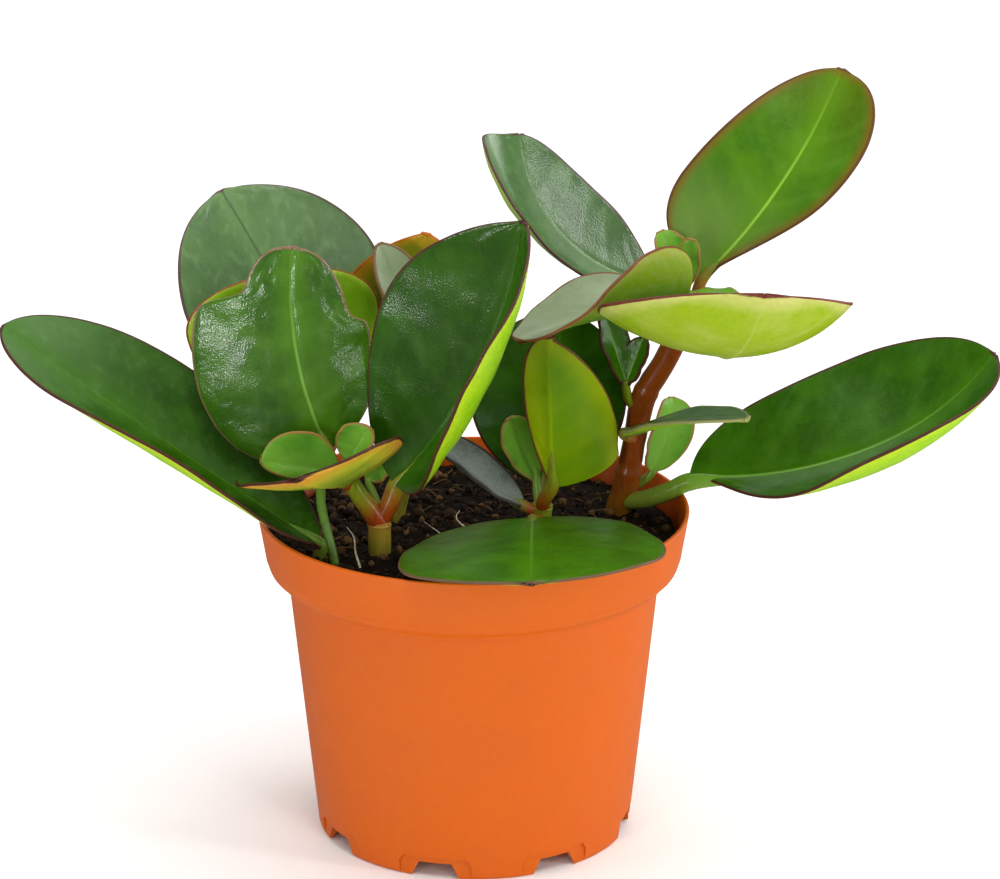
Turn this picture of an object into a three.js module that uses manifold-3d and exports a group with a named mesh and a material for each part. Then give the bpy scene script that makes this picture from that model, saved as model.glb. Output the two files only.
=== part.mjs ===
// A red-edged peperomia in an orange nursery pot.
// Millimetres, +Z up. The origin is the middle of the pot's underside, on the surface it
// stands on. +X runs along the plant's long direction, and -Y is the side that faces front.
import * as THREE from 'three';
import { mergeVertices } from 'three/addons/utils/BufferGeometryUtils.js';
import Module from 'manifold-3d';

const wasm = await Module();
wasm.setup();

// ---------------------------------------------------------------- driving dimensions
const GAP = 0.3;                    // clearance between pieces that touch

const POT = {
  height: 94.5,
  rimRadius: 60.6,                  // outer radius at the top edge
  wall: 1.1,
  lip: 0.4,                         // bevel of the top edge
  bandHeight: 12.5,                 // upright rim band
  bandFootRadius: 58.6,
  bandStep: 2.5,                    // drop of the curve under the band
  shoulderHeight: 18.3,             // from the top edge down to where the body starts
  bodyTopRadius: 55.1,
  shoulderInset: 2.7,               // how far the body steps in under the shoulder
  cornerRound: 0.7,                 // slant of the corners outside, at the band's foot and the shoulder
  innerStep: 0.8,                   // how much further in the inside of the shoulder runs
  footRadius: 44.8,
  footRound: 2,
  footWall: 1.6,                    // width of the ring that the pot stands on
  floorTop: 4.6,
  floorUnder: 3,                    // the floor stands clear of the ground
  bossRadius: 14,                   // except its middle, which stands on it
  slope: 1,                         // sideways run of the floor's slanted steps
  sides: 40,
};

// Eight notches through the foot, each in a shallow recess of the wall. The first one lies
// 14 degrees left of the front.
const FOOT_NOTCH = {
  count: 8, first: -14, topWidth: 9.4, bottomWidth: 14, height: 4.6, depth: 4,
  recessWidth: 21, recessHeight: 6.4, recessDepth: 0.4,
};
const DRAIN_HOLE = { radius: 3.5, ring: 30, sides: 8 };
const CUT_PAST = 1;                 // how far a cutting body runs past what it cuts

const SOIL = { level: 86.5, relief: 0.55, rings: 5, sides: 30 };

const BLADE = { rows: 10, columns: 6, middleThickness: 1.5, edgeThickness: 1, neck: 2.2, endRows: 0.6 };
const YOUNG_BLADE = { rows: 7, columns: 4 };
const MIDRIB_STEPS = 60;
const LEAST_CURL = 1e-6;            // below this many radians a half of the blade counts as flat
const HOOK_FROM = 0.55;             // where along the midrib a hook begins
// Where the stalk runs below the blade: [share of the blade's length, depth in stalk radii]
const RIB_UNDER_BLADE = [[0.12, 0.45], [0.32, 0.2]];
const RIB_SHARE = 0.6;              // the midrib's radius at its start, in stalk radii
const RIB_TIP_RADIUS = 0.5;
const PETIOLE_SIDES = 5;
const STEM_SIDES = 9;
const STEPS_PER_SPAN = 2;
const MERGE_DISTANCE = 1e-4;

// Stems: the points that the middle of each runs through, and the radius at each point.
// The first point is in the soil.
const STEMS = [
  {
    name: 'stem_left',
    color: 0x8f7a22,
    paths: [
      { points: [[-26, -17, 66], [-26, -17, 86], [-26, -17, 97]], radii: [3, 3.1, 3.3] },
      { points: [[-26, -17, 96], [-31, -19, 104], [-35, -21, 112]], radii: [3, 2.5, 2.3] },
    ],
  },
  {
    name: 'stem_side',
    color: 0x6f9a3a,
    paths: [
      {
        points: [[-38, -27, 72], [-38, -27, 87], [-42, -20, 104], [-41, -12, 114]],
        radii: [1.2, 1.2, 1.3, 1.7],
      },
    ],
  },
  {
    name: 'stem_back',
    color: 0x7d6a28,
    paths: [
      {
        points: [[-22, 13, 66], [-22, 13, 87], [-18, 13, 104], [-14, 13, 128]],
        radii: [2.6, 2.5, 2.3, 2.2],
      },
    ],
  },
  {
    name: 'stem_middle',
    color: 0xb5651e,
    paths: [{ points: [[19, 5, 66], [19, 5, 86], [19.5, 5, 94]], radii: [2.8, 2.8, 2.9] }],
  },
  {
    name: 'stem_right',
    color: 0x7a3b1c,
    paths: [
      {
        points: [
          [41, 18, 64], [41, 18, 86], [43, 18, 93], [45.5, 17, 108],
          [48, 15, 122], [54, 13, 134], [61, 11, 150],
        ],
        radii: [3.4, 3.6, 3.8, 3.2, 3.6, 3.3, 2.9],
      },
    ],
  },
];

// Leaves. Every one grows by the same rule, from the sizes given here.
//   carrier      the stem that holds it, or 'soil'
//   petiole      points along the leaf stalk, from the middle of its carrier to the blade
//   base, tip    the two ends of the blade's midrib
//   width        the blade's full width, measured along its surface
//   faces        the direction that the upper side looks in, half way along
//   arch         degrees that the midrib bends over its length; below 0 it sags like a spoon
//   sway         degrees that the midrib bows to its right, seen from above, base to tip
//   hook         degrees that the end of the midrib curls up
//   cup          degrees that the left and the right half curl up towards the margin
//   keel         degrees that both halves rise straight from the midrib
//   open         the share of cup and keel which is lost between base and tip
//   widest       where along its length the blade is widest, 0 at the base, 1 at the tip
//   round        how blunt the base and the tip end are: a low number is blunt
//   skew         the share by which the right half is wider than the left
//   rightHalf    widest and round of the right half, where they differ from the left half's
//   bite         for each half: where a bite begins, how deep it is, how softly it starts
const LEAF_NORMS = {
  arch: 0, sway: 0, hook: 0, cup: [15, 15], open: 0, keel: 4, widest: 0.58,
  round: [0.6, 0.5], skew: 0, bite: [null, null], rightHalf: {}, stalk: 1.7, color: 0x3f7f2c,
};

const LEAVES = [
  // left plant
  {
    name: 'leaf_left_long', carrier: 'soil',
    petiole: [[-43, -19, 76], [-43, -20, 86], [-42, -21.5, 91]],
    base: [-42, -22, 91], tip: [-129, -12, 151], width: 48, faces: [0.55, -0.45, 0.7],
    arch: -5, cup: [72, 12], keel: 16, open: 0.55,
    widest: 0.56, round: [0.95, 0.6], rightHalf: { round: [0.75, 0.6] },
  },
  {
    name: 'leaf_left_back', carrier: 'stem_side',
    petiole: [[-41, -12, 113], [-38, 1, 117], [-37, 12, 122]],
    base: [-37, 12, 122], tip: [-71, 30, 178], width: 60, faces: [0.35, -0.8, 0.5],
    arch: 4, cup: [5, 12], keel: 3,
    widest: 0.5, round: [0.6, 0.5], rightHalf: { round: [0.6, 0.65] },
  },
  {
    name: 'leaf_notched', carrier: 'stem_side',
    petiole: [[-41, -13, 112], [-40, -16, 115], [-40, -18, 118]],
    base: [-40, -18, 118], tip: [-49, -13, 174], width: 50, faces: [0, -1, 0.1],
    arch: 10, sway: -30, cup: [-20, -35], keel: 3,
    widest: 0.44, round: [0.36, 0.36], skew: -0.17, rightHalf: { round: [0.5, 0.36] },
    bite: [[0.76, 0.48, 0.01], [0.63, 0.22, 0.01]],
  },
  {
    name: 'leaf_behind_notched', carrier: 'stem_side',
    petiole: [[-41, -12, 112], [-43, -6, 113], [-45, 0, 115]],
    base: [-47, 0, 117], tip: [-55, -1, 163], width: 54, faces: [-0.1, 0.95, 0.05],
    arch: -6, cup: [8, 8], widest: 0.7, round: [0.9, 0.45], color: 0x5f9a2e,
  },
  {
    name: 'leaf_boat', carrier: 'stem_left',
    petiole: [[-34, -20.5, 108], [-34.5, -21.5, 109.5], [-34.5, -23, 111]],
    base: [-34.5, -24, 111], tip: [-47, -49, 120], width: 52, faces: [-0.25, 0.35, 0.9],
    arch: -20, cup: [22, 22], widest: 0.5, round: [0.5, 0.5], color: 0x8a9a2a,
  },
  {
    name: 'leaf_center', carrier: 'stem_left',
    petiole: [[-26, -17, 96], [-23, -17, 102], [-20.8, -16.8, 107.5]],
    base: [-21.5, -18, 108], tip: [14, -30, 186], width: 60, faces: [-0.6, -0.8, 0.15],
    arch: -15, sway: 30, cup: [-5, 80], keel: 25,
    widest: 0.57, round: [0.6, 0.6], skew: -0.05, rightHalf: { widest: 0.55, round: [0.65, 0.85] },
    stalk: 2.6,
  },
  {
    name: 'leaf_grey_fold', carrier: 'stem_back',
    petiole: [[-15, 13, 126], [-15, 10, 133], [-14, 6, 141]],
    base: [-14, 6, 141], tip: [-26, 1, 171], width: 15, faces: [0.45, -0.9, 0.05],
    cup: [10, 10], keel: 25, widest: 0.6, round: [0.6, 0.6],
  },
  {
    name: 'leaf_olive', carrier: 'stem_back',
    petiole: [[-14, 13, 126], [-17, 13, 130], [-19, 13, 133]],
    base: [-20, 12, 134], tip: [-13, 8, 172], width: 40, faces: [-0.05, 0.95, 0.3],
    cup: [12, 12], widest: 0.35, round: [0.6, 0.8], color: 0x8a8a2a,
  },
  // middle shoot
  {
    name: 'leaf_backlit', carrier: 'stem_middle',
    petiole: [[19, 5, 92], [20, 2, 96], [22, 0, 100.5]],
    base: [22, 0, 100.5], tip: [20.5, -8, 147], width: 30, faces: [-0.1, 0.95, 0.2],
    arch: -6, cup: [30, 20],
    widest: 0.06, round: [0.3, 0.85], skew: -0.53, rightHalf: { widest: 0.7, round: [1, 0.4] },
    stalk: 2, color: 0x6f9a20,
  },
  {
    name: 'leaf_middle_dark', carrier: 'stem_middle',
    petiole: [[19, 5, 91], [19, 10, 93], [20, 14, 96]],
    base: [20, 14, 96], tip: [25, 27, 143], width: 44, faces: [-0.1, -0.95, 0.25],
    cup: [10, 10], widest: 0.5, round: [0.6, 0.5], skew: -0.05,
  },
  {
    name: 'leaf_middle_grey', carrier: 'stem_middle',
    petiole: [[19, 5, 91], [16, 5, 92], [14, 5, 93]],
    base: [14, 5, 93], tip: [-12, 8, 113], width: 15, faces: [0.45, -0.35, 0.8],
    arch: -20, cup: [30, 30], keel: 12, widest: 0.5,
  },
  {
    name: 'leaf_front', carrier: 'stem_middle',
    petiole: [[19, 5, 89], [17.5, 0, 90], [16.5, -4, 92]],
    base: [16.5, -4, 92], tip: [15.7, -78, 101.5], width: 72, faces: [-0.06, 0.13, 1],
    arch: 10, cup: [-14, -14], widest: 0.6, round: [0.55, 0.5],
  },
  // right plant
  {
    name: 'leaf_top', carrier: 'stem_right',
    petiole: [[60, 11, 148], [62, 11, 153], [64, 12, 158]],
    base: [64, 12, 158], tip: [102, 22, 215], width: 40, faces: [-0.2, -0.92, 0.35],
    arch: 6, sway: 25, cup: [20, 20], open: 0.2,
    widest: 0.3, round: [0.3, 0.6], skew: -0.2, rightHalf: { widest: 0.75, round: [1.8, 0.4] },
  },
  {
    name: 'leaf_upper_left', carrier: 'stem_right',
    petiole: [[60, 11, 149], [56, 18, 151], [51, 22, 153]],
    base: [51, 22, 153], tip: [13, 48, 189.5], width: 36, faces: [0.3, -0.85, 0.45],
    arch: -20, sway: -75, cup: [125, 15], open: 0.4,
    widest: 0.88, round: [1.2, 0.42], skew: -0.1, rightHalf: { widest: 0.45, round: [0.7, 0.55] },
  },
  {
    name: 'leaf_grazing', carrier: 'stem_right',
    petiole: [[60, 11, 149], [58.5, 8, 151], [57, 5.5, 151.5]],
    base: [56.5, 5, 152], tip: [13, -18, 149], width: 46, faces: [-0.1, 0.25, 1],
    arch: 18, cup: [115, 60], keel: 10, open: 1,
    widest: 0.25, round: [0.12, 0.5], rightHalf: { widest: 0.4, round: [0.5, 0.5] },
    color: 0x7f9a5f,
  },
  {
    name: 'leaf_spoon', carrier: 'stem_right',
    petiole: [[60, 11, 148], [62, 6, 150], [63, 0, 151]],
    base: [63, 1, 151], tip: [77, -50, 172], width: 76, faces: [0.05, 0.3, 0.95],
    arch: -102, cup: [50, 32], keel: 0, widest: 0.55, round: [0.45, 0.45], skew: 0.03,
    color: 0x8fbf3a,
  },
  {
    name: 'leaf_big_right', carrier: 'stem_right',
    petiole: [[42, 18, 90], [48, 14, 91.5], [55, 11, 95], [61, 9.5, 98.5]],
    base: [61, 9, 100.5], tip: [144, -5, 141], width: 57, faces: [-0.35, -0.5, 0.75],
    arch: -30, sway: 38, hook: 15, cup: [16, 80], keel: 5,
    widest: 0.55, round: [0.45, 0.5], rightHalf: { widest: 0.6, round: [2, 0.5] }, stalk: 2.6,
  },
  {
    name: 'leaf_across', carrier: 'stem_right',
    petiole: [[45.5, 17, 109], [44.5, 13, 110.5], [42.3, 9.5, 113]],
    base: [42.3, 9, 113.5], tip: [75.5, -16, 126], width: 19, faces: [-0.1, 0.1, 1],
    arch: 15, cup: [10, 10], round: [0.6, 0.8],
  },
  {
    name: 'leaf_small_lime', carrier: 'stem_left',
    petiole: [[-26, -15, 96], [-27, -13, 101], [-29, -11, 106]],
    base: [-29, -11, 106], tip: [-25, -9, 112], width: 9, faces: [-0.5, -0.8, 0.2],
    cup: [20, 20], stalk: 1.1, color: 0x7fae2a,
  },
  {
    name: 'leaf_lime_upright', carrier: 'stem_right',
    petiole: [[43, 19, 92], [47, 20, 94], [51, 20, 98]],
    base: [51, 20, 98], tip: [56, 20, 120], width: 15, faces: [0.5, -0.9, 0],
    hook: -40, cup: [25, 25], keel: 12, round: [0.6, 0.45], stalk: 1.2, color: 0x7fae2a,
  },
];

// Shoot tips: young leaves that are grown together with the end of their shoot.
const TIPS = [
  {
    name: 'tip_left', carrier: 'stem_left', color: 0x5fa02c,
    core: { points: [[-35, -21, 111], [-35.5, -23, 114], [-35, -24, 117]], radii: [2, 1.8, 0.8] },
    leaves: [
      {
        base: [-37, -23, 113], tip: [-58, -25, 117], width: 14,
        faces: [0.1, -1, 0.15], skew: 0.5, widest: 0.5,
      },
      {
        base: [-34, -24, 116], tip: [-28, -24, 126], width: 14,
        faces: [-0.5, -0.8, 0.3], cup: [40, 40], keel: 20,
      },
    ],
  },
  {
    name: 'tip_middle', carrier: 'stem_middle', color: 0x6fae2a,
    core: { points: [[18.5, 6, 93], [18, 7.5, 97], [17.5, 8, 104]], radii: [1.6, 1.5, 0.9] },
    leaves: [
      {
        base: [18, 8, 99], tip: [10, 5, 119], width: 11,
        faces: [0.4, -0.9, 0.05], cup: [20, 20], widest: 0.65, round: [1, 0.5],
      },
    ],
  },
  {
    name: 'tip_right', carrier: 'stem_right', color: 0x7fae2a,
    core: { points: [[59.6, 11.5, 149], [58.6, 10.8, 155], [58.3, 10.3, 164]], radii: [1.8, 1.7, 0.8] },
    leaves: [
      {
        base: [58.5, 11, 157], tip: [52, 13, 171], width: 11,
        faces: [0.3, -0.85, 0.4], cup: [50, 50],
      },
      {
        base: [59, 10.5, 156], tip: [60.5, 9, 170], width: 7,
        faces: [-0.35, -0.9, 0.15], cup: [20, 20],
      },
      {
        base: [59.5, 11, 154], tip: [72, -6, 157], width: 11,
        faces: [-0.15, 0.25, 0.95], cup: [20, 20],
      },
    ],
  },
  {
    name: 'side_shoot', carrier: 'stem_right', color: 0x4f8a2a,
    core: { points: [[47, 15.5, 119], [44, 14, 121], [42.5, 12, 128]], radii: [1.6, 1.4, 1.2] },
    leaves: [
      {
        base: [42.5, 12, 127], tip: [36, 14, 148], width: 10,
        faces: [0.6, -0.75, 0.2], cup: [20, 20], keel: 10,
      },
      {
        base: [43, 12, 127], tip: [48, 13, 140], width: 8,
        faces: [-0.6, -0.75, 0.2], cup: [20, 20], keel: 10,
      },
    ],
  },
];

// ---------------------------------------------------------------- small helpers
const vector = (point) => new THREE.Vector3(...point);
const radians = THREE.MathUtils.degToRad;
const mix = THREE.MathUtils.lerp;

// A closed body from corner points and triangles that name them.
function solid(corners, triangles) {
  const vertProperties = new Float32Array(corners.flatMap((corner) => corner.toArray()));
  const triVerts = new Uint32Array(triangles.flat());
  return new wasm.Manifold(new wasm.Mesh({ numProp: 3, vertProperties, triVerts }));
}

// A closed body from a three.js geometry, with the corners that meet made one.
function fromGeometry(geometry) {
  const bare = new THREE.BufferGeometry();
  const loose = geometry.index ? geometry.toNonIndexed() : geometry;
  bare.setAttribute('position', loose.getAttribute('position'));
  const merged = mergeVertices(bare, MERGE_DISTANCE);
  const place = merged.getAttribute('position');
  const corners = Array.from({ length: place.count }, (_, index) => (
    new THREE.Vector3().fromBufferAttribute(place, index)
  ));
  const triangles = [];
  for (let index = 0; index < merged.index.count; index += 3) {
    const triangle = [0, 1, 2].map((corner) => merged.index.getX(index + corner));
    if (new Set(triangle).size === 3) triangles.push(triangle);
  }
  return solid(corners, triangles);
}

// A closed body through rings of points that run counterclockwise, seen from its far end.
function solidFromRings(rings, firstMiddle, lastMiddle) {
  const sides = rings[0].length;
  const corners = [...rings.flat(), firstMiddle, lastMiddle];
  const first = rings.length * sides;
  const triangles = [];
  for (let side = 0; side < sides; side += 1) {
    const next = (side + 1) % sides;
    for (let ring = 0; ring + 1 < rings.length; ring += 1) {
      const low = ring * sides;
      const high = low + sides;
      triangles.push([low + side, low + next, high + next], [low + side, high + next, high + side]);
    }
    const top = (rings.length - 1) * sides;
    triangles.push([first, next, side], [first + 1, top + side, top + next]);
  }
  return solid(corners, triangles);
}

// A round stalk along points, with a radius at each of them.
function stalkSolid(points, radii, sides, grown = 0) {
  const curve = new THREE.CatmullRomCurve3(points.map(vector), false, 'centripetal');
  const steps = (points.length - 1) * STEPS_PER_SPAN;
  const frames = curve.computeFrenetFrames(steps, false);
  const rings = [];
  for (let step = 0; step <= steps; step += 1) {
    const along = step / steps;
    const middle = curve.getPoint(along);
    const place = along * (radii.length - 1);
    const before = Math.min(Math.floor(place), radii.length - 2);
    const radius = mix(radii[before], radii[before + 1], place - before) + grown;
    const ring = [];
    for (let side = 0; side < sides; side += 1) {
      const angle = (side / sides) * 2 * Math.PI;
      ring.push(
        middle.clone()
          .addScaledVector(frames.normals[step], radius * Math.cos(angle))
          .addScaledVector(frames.binormals[step], radius * Math.sin(angle)),
      );
    }
    rings.push(ring);
  }
  return solidFromRings(rings, curve.getPoint(0), curve.getPoint(1));
}

// ---------------------------------------------------------------- leaves
// Half the blade's width at a place along it, as a share of the widest half.
function outline(leaf, along, side) {
  const { widest, round: [baseRound, tipRound] } = side > 0 ? { ...leaf, ...leaf.rightHalf } : leaf;
  const fromWidest = along < widest ? (widest - along) / widest : (along - widest) / (1 - widest);
  const share = Math.max(1 - fromWidest ** 2, 0) ** (along < widest ? baseRound : tipRound);
  const least = BLADE.neck / leaf.width;
  const bite = leaf.bite[side > 0 ? 1 : 0];
  const kept = bite ? 1 - bite[1] / (1 + Math.exp((bite[0] - along) / bite[2])) : 1;
  return Math.max(share, least) * kept * (1 + (side > 0 ? leaf.skew : -leaf.skew));
}

// The midrib: points and directions at even steps, from the base to the tip.
function midrib(leaf) {
  const base = vector(leaf.base);
  const chord = vector(leaf.tip).sub(base);
  const length = chord.length();
  const ahead = chord.clone().normalize();
  const faces = vector(leaf.faces);
  const up = faces.clone().addScaledVector(ahead, -faces.dot(ahead)).normalize();
  const right = ahead.clone().cross(up);
  const local = [new THREE.Vector3()];
  const turns = [];
  for (let step = 0; step < MIDRIB_STEPS; step += 1) {
    const along = (step + 0.5) / MIDRIB_STEPS;
    const curl = radians(leaf.hook) * Math.max((along - HOOK_FROM) / (1 - HOOK_FROM), 0) ** 1.5;
    const lift = radians(leaf.arch) * (0.5 - along) + curl;
    const drift = radians(leaf.sway) * (0.5 - along);
    const turn = new THREE.Vector3(Math.cos(lift) * Math.cos(drift), Math.sin(lift), Math.sin(drift));
    turns.push(turn);
    local.push(local[step].clone().add(turn));
  }
  const end = local[MIDRIB_STEPS];
  const alongX = new THREE.Vector3(1, 0, 0);
  const level = new THREE.Quaternion().setFromUnitVectors(end.clone().normalize(), alongX);
  const place = new THREE.Matrix4().makeBasis(ahead, up, right);
  const scale = length / end.length();
  const turned = (point) => point.clone().applyQuaternion(level).applyMatrix4(place);
  const points = local.map((point) => turned(point).multiplyScalar(scale).add(base));
  const directions = turns.map((turn) => turned(turn).normalize());
  return { points, directions, up };
}

function sampleAlong(list, along) {
  const place = THREE.MathUtils.clamp(along, 0, 1) * (list.length - 1);
  const before = Math.min(Math.floor(place), list.length - 2);
  return list[before].clone().lerp(list[before + 1], place - before);
}

// The middle surface of a blade: a grid of points, rows from base to tip, columns from the
// left margin to the right one.
function bladeGrid(leaf, { rows, columns }) {
  const rib = midrib(leaf);
  const halfWidth = leaf.width / 2;
  const grid = [];
  for (let row = 0; row <= rows; row += 1) {
    const even = row / rows;
    const along = mix(even, (1 - Math.cos(Math.PI * even)) / 2, BLADE.endRows);
    const middle = sampleAlong(rib.points, along);
    const ahead = sampleAlong(rib.directions, along).normalize();
    const up = rib.up.clone().addScaledVector(ahead, -rib.up.dot(ahead)).normalize();
    const right = ahead.clone().cross(up);
    const line = [];
    for (let column = 0; column <= columns; column += 1) {
      const across = (2 * column) / columns - 1;
      const side = Math.sign(across);
      const reach = Math.abs(across) * outline(leaf, along, side);
      const curl = radians(leaf.cup[side > 0 ? 1 : 0]) * (1 - leaf.open * along);
      const bent = Math.abs(curl) > LEAST_CURL;
      const out = bent ? Math.sin(curl * reach) / curl : reach;
      const rise = bent ? (1 - Math.cos(curl * reach)) / curl : 0;
      const keel = radians(leaf.keel) * (1 - leaf.open * along);
      line.push(
        middle.clone()
          .addScaledVector(right, side * halfWidth * (out * Math.cos(keel) - rise * Math.sin(keel)))
          .addScaledVector(up, halfWidth * (out * Math.sin(keel) + rise * Math.cos(keel))),
      );
    }
    grid.push(line);
  }
  return grid;
}

// The direction that the upper side looks in, at each point of the grid.
function gridNormals(grid) {
  const lastRow = grid.length - 1;
  const lastColumn = grid[0].length - 1;
  return grid.map((line, row) => line.map((_, column) => {
    const ahead = grid[Math.min(row + 1, lastRow)][column].clone().sub(grid[Math.max(row - 1, 0)][column]);
    const right = line[Math.min(column + 1, lastColumn)].clone().sub(line[Math.max(column - 1, 0)]);
    return right.cross(ahead).normalize();
  }));
}

// A blade with its thickness. Both faces are split into triangles alike.
function bladeSolid(leaf, detail = BLADE) {
  const grid = bladeGrid(leaf, detail);
  const normals = gridNormals(grid);
  const rows = grid.length;
  const columns = grid[0].length;
  const corners = [];
  for (const face of [0.5, -0.5]) {
    grid.forEach((line, row) => line.forEach((point, column) => {
      const across = Math.abs((2 * column) / (columns - 1) - 1);
      const thickness = mix(BLADE.middleThickness, BLADE.edgeThickness, across);
      corners.push(point.clone().addScaledVector(normals[row][column], face * thickness));
    }));
  }
  const upper = (row, column) => row * columns + column;
  const under = (row, column) => rows * columns + upper(row, column);
  const triangles = [];
  for (let row = 0; row + 1 < rows; row += 1) {
    for (let column = 0; column + 1 < columns; column += 1) {
      const quad = [[row, column], [row + 1, column], [row + 1, column + 1], [row, column + 1]];
      const [a, b, c, d] = quad.map((place) => upper(...place));
      const [e, f, g, h] = quad.map((place) => under(...place));
      triangles.push([a, c, b], [a, d, c], [e, f, g], [e, g, h]);
    }
  }
  const border = [];
  for (let row = 0; row + 1 < rows; row += 1) border.push([row, 0]);
  for (let column = 0; column + 1 < columns; column += 1) border.push([rows - 1, column]);
  for (let row = rows - 1; row > 0; row -= 1) border.push([row, columns - 1]);
  for (let column = columns - 1; column > 0; column -= 1) border.push([0, column]);
  border.forEach((place, index) => {
    const next = border[(index + 1) % border.length];
    triangles.push([upper(...place), upper(...next), under(...place)]);
    triangles.push([upper(...next), under(...next), under(...place)]);
  });
  return solid(corners, triangles);
}

// The stalk of a leaf. It runs on as the raised midrib below the blade.
function petioleSolid(leaf, grown = 0) {
  const rib = midrib(leaf);
  const underBlade = RIB_UNDER_BLADE.map(([along, depth]) => (
    sampleAlong(rib.points, along).addScaledVector(rib.up, -depth * leaf.stalk).toArray()
  ));
  const points = [...leaf.petiole, ...underBlade];
  const radii = [...leaf.petiole.map(() => leaf.stalk), leaf.stalk * RIB_SHARE, RIB_TIP_RADIUS];
  return stalkSolid(points, radii, PETIOLE_SIDES, grown);
}

// ---------------------------------------------------------------- pot and soil
// Heights and inner radii that the pot and its soil share.
const BAND_FOOT = POT.height - POT.bandHeight;
const BODY_TOP = POT.height - POT.shoulderHeight;
const INNER = {
  band: POT.bandFootRadius - POT.wall,
  underBand: POT.bandFootRadius - POT.wall - 1,
  shoulder: POT.bodyTopRadius - POT.wall - POT.innerStep,
  body: POT.bodyTopRadius - POT.wall - POT.shoulderInset,
  foot: POT.footRadius - POT.wall,
};

function potSolid() {
  const { height, rimRadius, footRadius, footRound, footWall, floorTop, floorUnder, lip, slope } = POT;
  const outside = [
    [0, 0], [POT.bossRadius, 0], [POT.bossRadius + slope, floorUnder],
    [footRadius - footWall - slope, floorUnder], [footRadius - footWall, 0],
    [footRadius - footRound * 0.6, 0], [footRadius, footRound],
    [POT.bodyTopRadius - POT.shoulderInset, BODY_TOP - POT.cornerRound], [POT.bodyTopRadius, BODY_TOP],
    [POT.bandFootRadius - POT.cornerRound, BAND_FOOT - POT.bandStep], [POT.bandFootRadius, BAND_FOOT],
    [rimRadius, height - lip], [rimRadius - lip, height],
  ];
  const inside = [
    [rimRadius - POT.wall, height], [rimRadius - POT.wall - lip / 2, height - lip],
    [INNER.band, BAND_FOOT], [INNER.underBand, BAND_FOOT - POT.bandStep], [INNER.shoulder, BODY_TOP - lip],
    [INNER.body, BODY_TOP - 2 * POT.lip - 0.6], [INNER.foot, floorTop + slope],
    [INNER.foot - slope, floorTop], [0, floorTop],
  ];
  const profile = [...outside, ...inside].map(([radius, z]) => new THREE.Vector2(radius, z));
  let pot = fromGeometry(new THREE.LatheGeometry(profile, POT.sides).rotateX(Math.PI / 2));
  for (let index = 0; index < FOOT_NOTCH.count; index += 1) {
    const angle = radians(FOOT_NOTCH.first - 90 + (index * 360) / FOOT_NOTCH.count);
    pot = pot.subtract(notchCutter(angle)).subtract(recessCutter(angle)).subtract(drainCutter(angle));
  }
  return pot;
}

// Cuts a notch with slanted sides through the foot.
function notchCutter(angle) {
  const { topWidth, bottomWidth, height, depth } = FOOT_NOTCH;
  const below = ((bottomWidth - topWidth) / height) * CUT_PAST + bottomWidth;
  const shape = new THREE.Shape([
    new THREE.Vector2(-topWidth / 2, height), new THREE.Vector2(-below / 2, -CUT_PAST),
    new THREE.Vector2(below / 2, -CUT_PAST), new THREE.Vector2(topWidth / 2, height),
  ]);
  const cutter = new THREE.ExtrudeGeometry(shape, { depth: depth + 2 * CUT_PAST, bevelEnabled: false });
  cutter.rotateX(Math.PI / 2).rotateZ(Math.PI / 2);
  return fromGeometry(cutter.translate(POT.footRadius - depth, 0, 0).rotateZ(angle));
}

// Cuts the shallow recess round a notch, which follows the round wall.
function recessCutter(angle) {
  const half = FOOT_NOTCH.recessWidth / 2 / POT.footRadius;
  const shape = new THREE.Shape();
  shape.absarc(0, 0, POT.footRadius + 2 * CUT_PAST, angle - half, angle + half, false);
  shape.absarc(0, 0, POT.footRadius - FOOT_NOTCH.recessDepth, angle + half, angle - half, true);
  const depth = FOOT_NOTCH.recessHeight + CUT_PAST;
  const cutter = new THREE.ExtrudeGeometry(shape, { depth, bevelEnabled: false, curveSegments: 2 });
  return fromGeometry(cutter.translate(0, 0, -CUT_PAST));
}

function drainCutter(angle) {
  const { radius, ring, sides } = DRAIN_HOLE;
  const tall = 2 * (POT.floorTop + CUT_PAST);
  const cutter = new THREE.CylinderGeometry(radius, radius, tall, sides).rotateX(Math.PI / 2);
  return fromGeometry(cutter.translate(ring, 0, 0).rotateZ(angle));
}

// The soil plug: it fills the pot, and its top is uneven.
function soilSolid() {
  const bottom = POT.floorTop + GAP;
  const edge = INNER.band - 2 * GAP;
  const side = [
    [INNER.foot - POT.slope - GAP, bottom], [INNER.foot - 2 * GAP, bottom + 2 * POT.slope],
    [INNER.body - 2 * GAP, BODY_TOP - 1.4], [INNER.underBand - 2 * GAP, BAND_FOOT - POT.bandStep],
    [edge, BAND_FOOT + 2 * GAP],
  ];
  const rings = side.map(([radius, z]) => soilRing(radius, () => z));
  for (let step = 0; step < SOIL.rings; step += 1) {
    const radius = step > 0 ? edge * (1 - step / SOIL.rings) : edge - GAP;
    rings.push(soilRing(radius, soilHeight));
  }
  return solidFromRings(rings, new THREE.Vector3(0, 0, bottom), new THREE.Vector3(0, 0, soilHeight(0, 0)));
}

function soilRing(radius, heightAt) {
  return Array.from({ length: SOIL.sides }, (_, index) => {
    const angle = (index / SOIL.sides) * 2 * Math.PI;
    const [x, y] = [radius * Math.cos(angle), radius * Math.sin(angle)];
    return new THREE.Vector3(x, y, heightAt(x, y));
  });
}

// Low humps at three scales.
function soilHeight(x, y) {
  const broad = Math.sin(0.11 * x + 0.7) * Math.cos(0.13 * y);
  const middle = 0.6 * Math.sin(0.29 * x - 0.17 * y);
  const fine = 0.5 * Math.cos(0.53 * y + 0.41 * x);
  return SOIL.level + SOIL.relief * (broad + middle + fine);
}

// ---------------------------------------------------------------- assembly
const plant = new THREE.Group();

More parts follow.
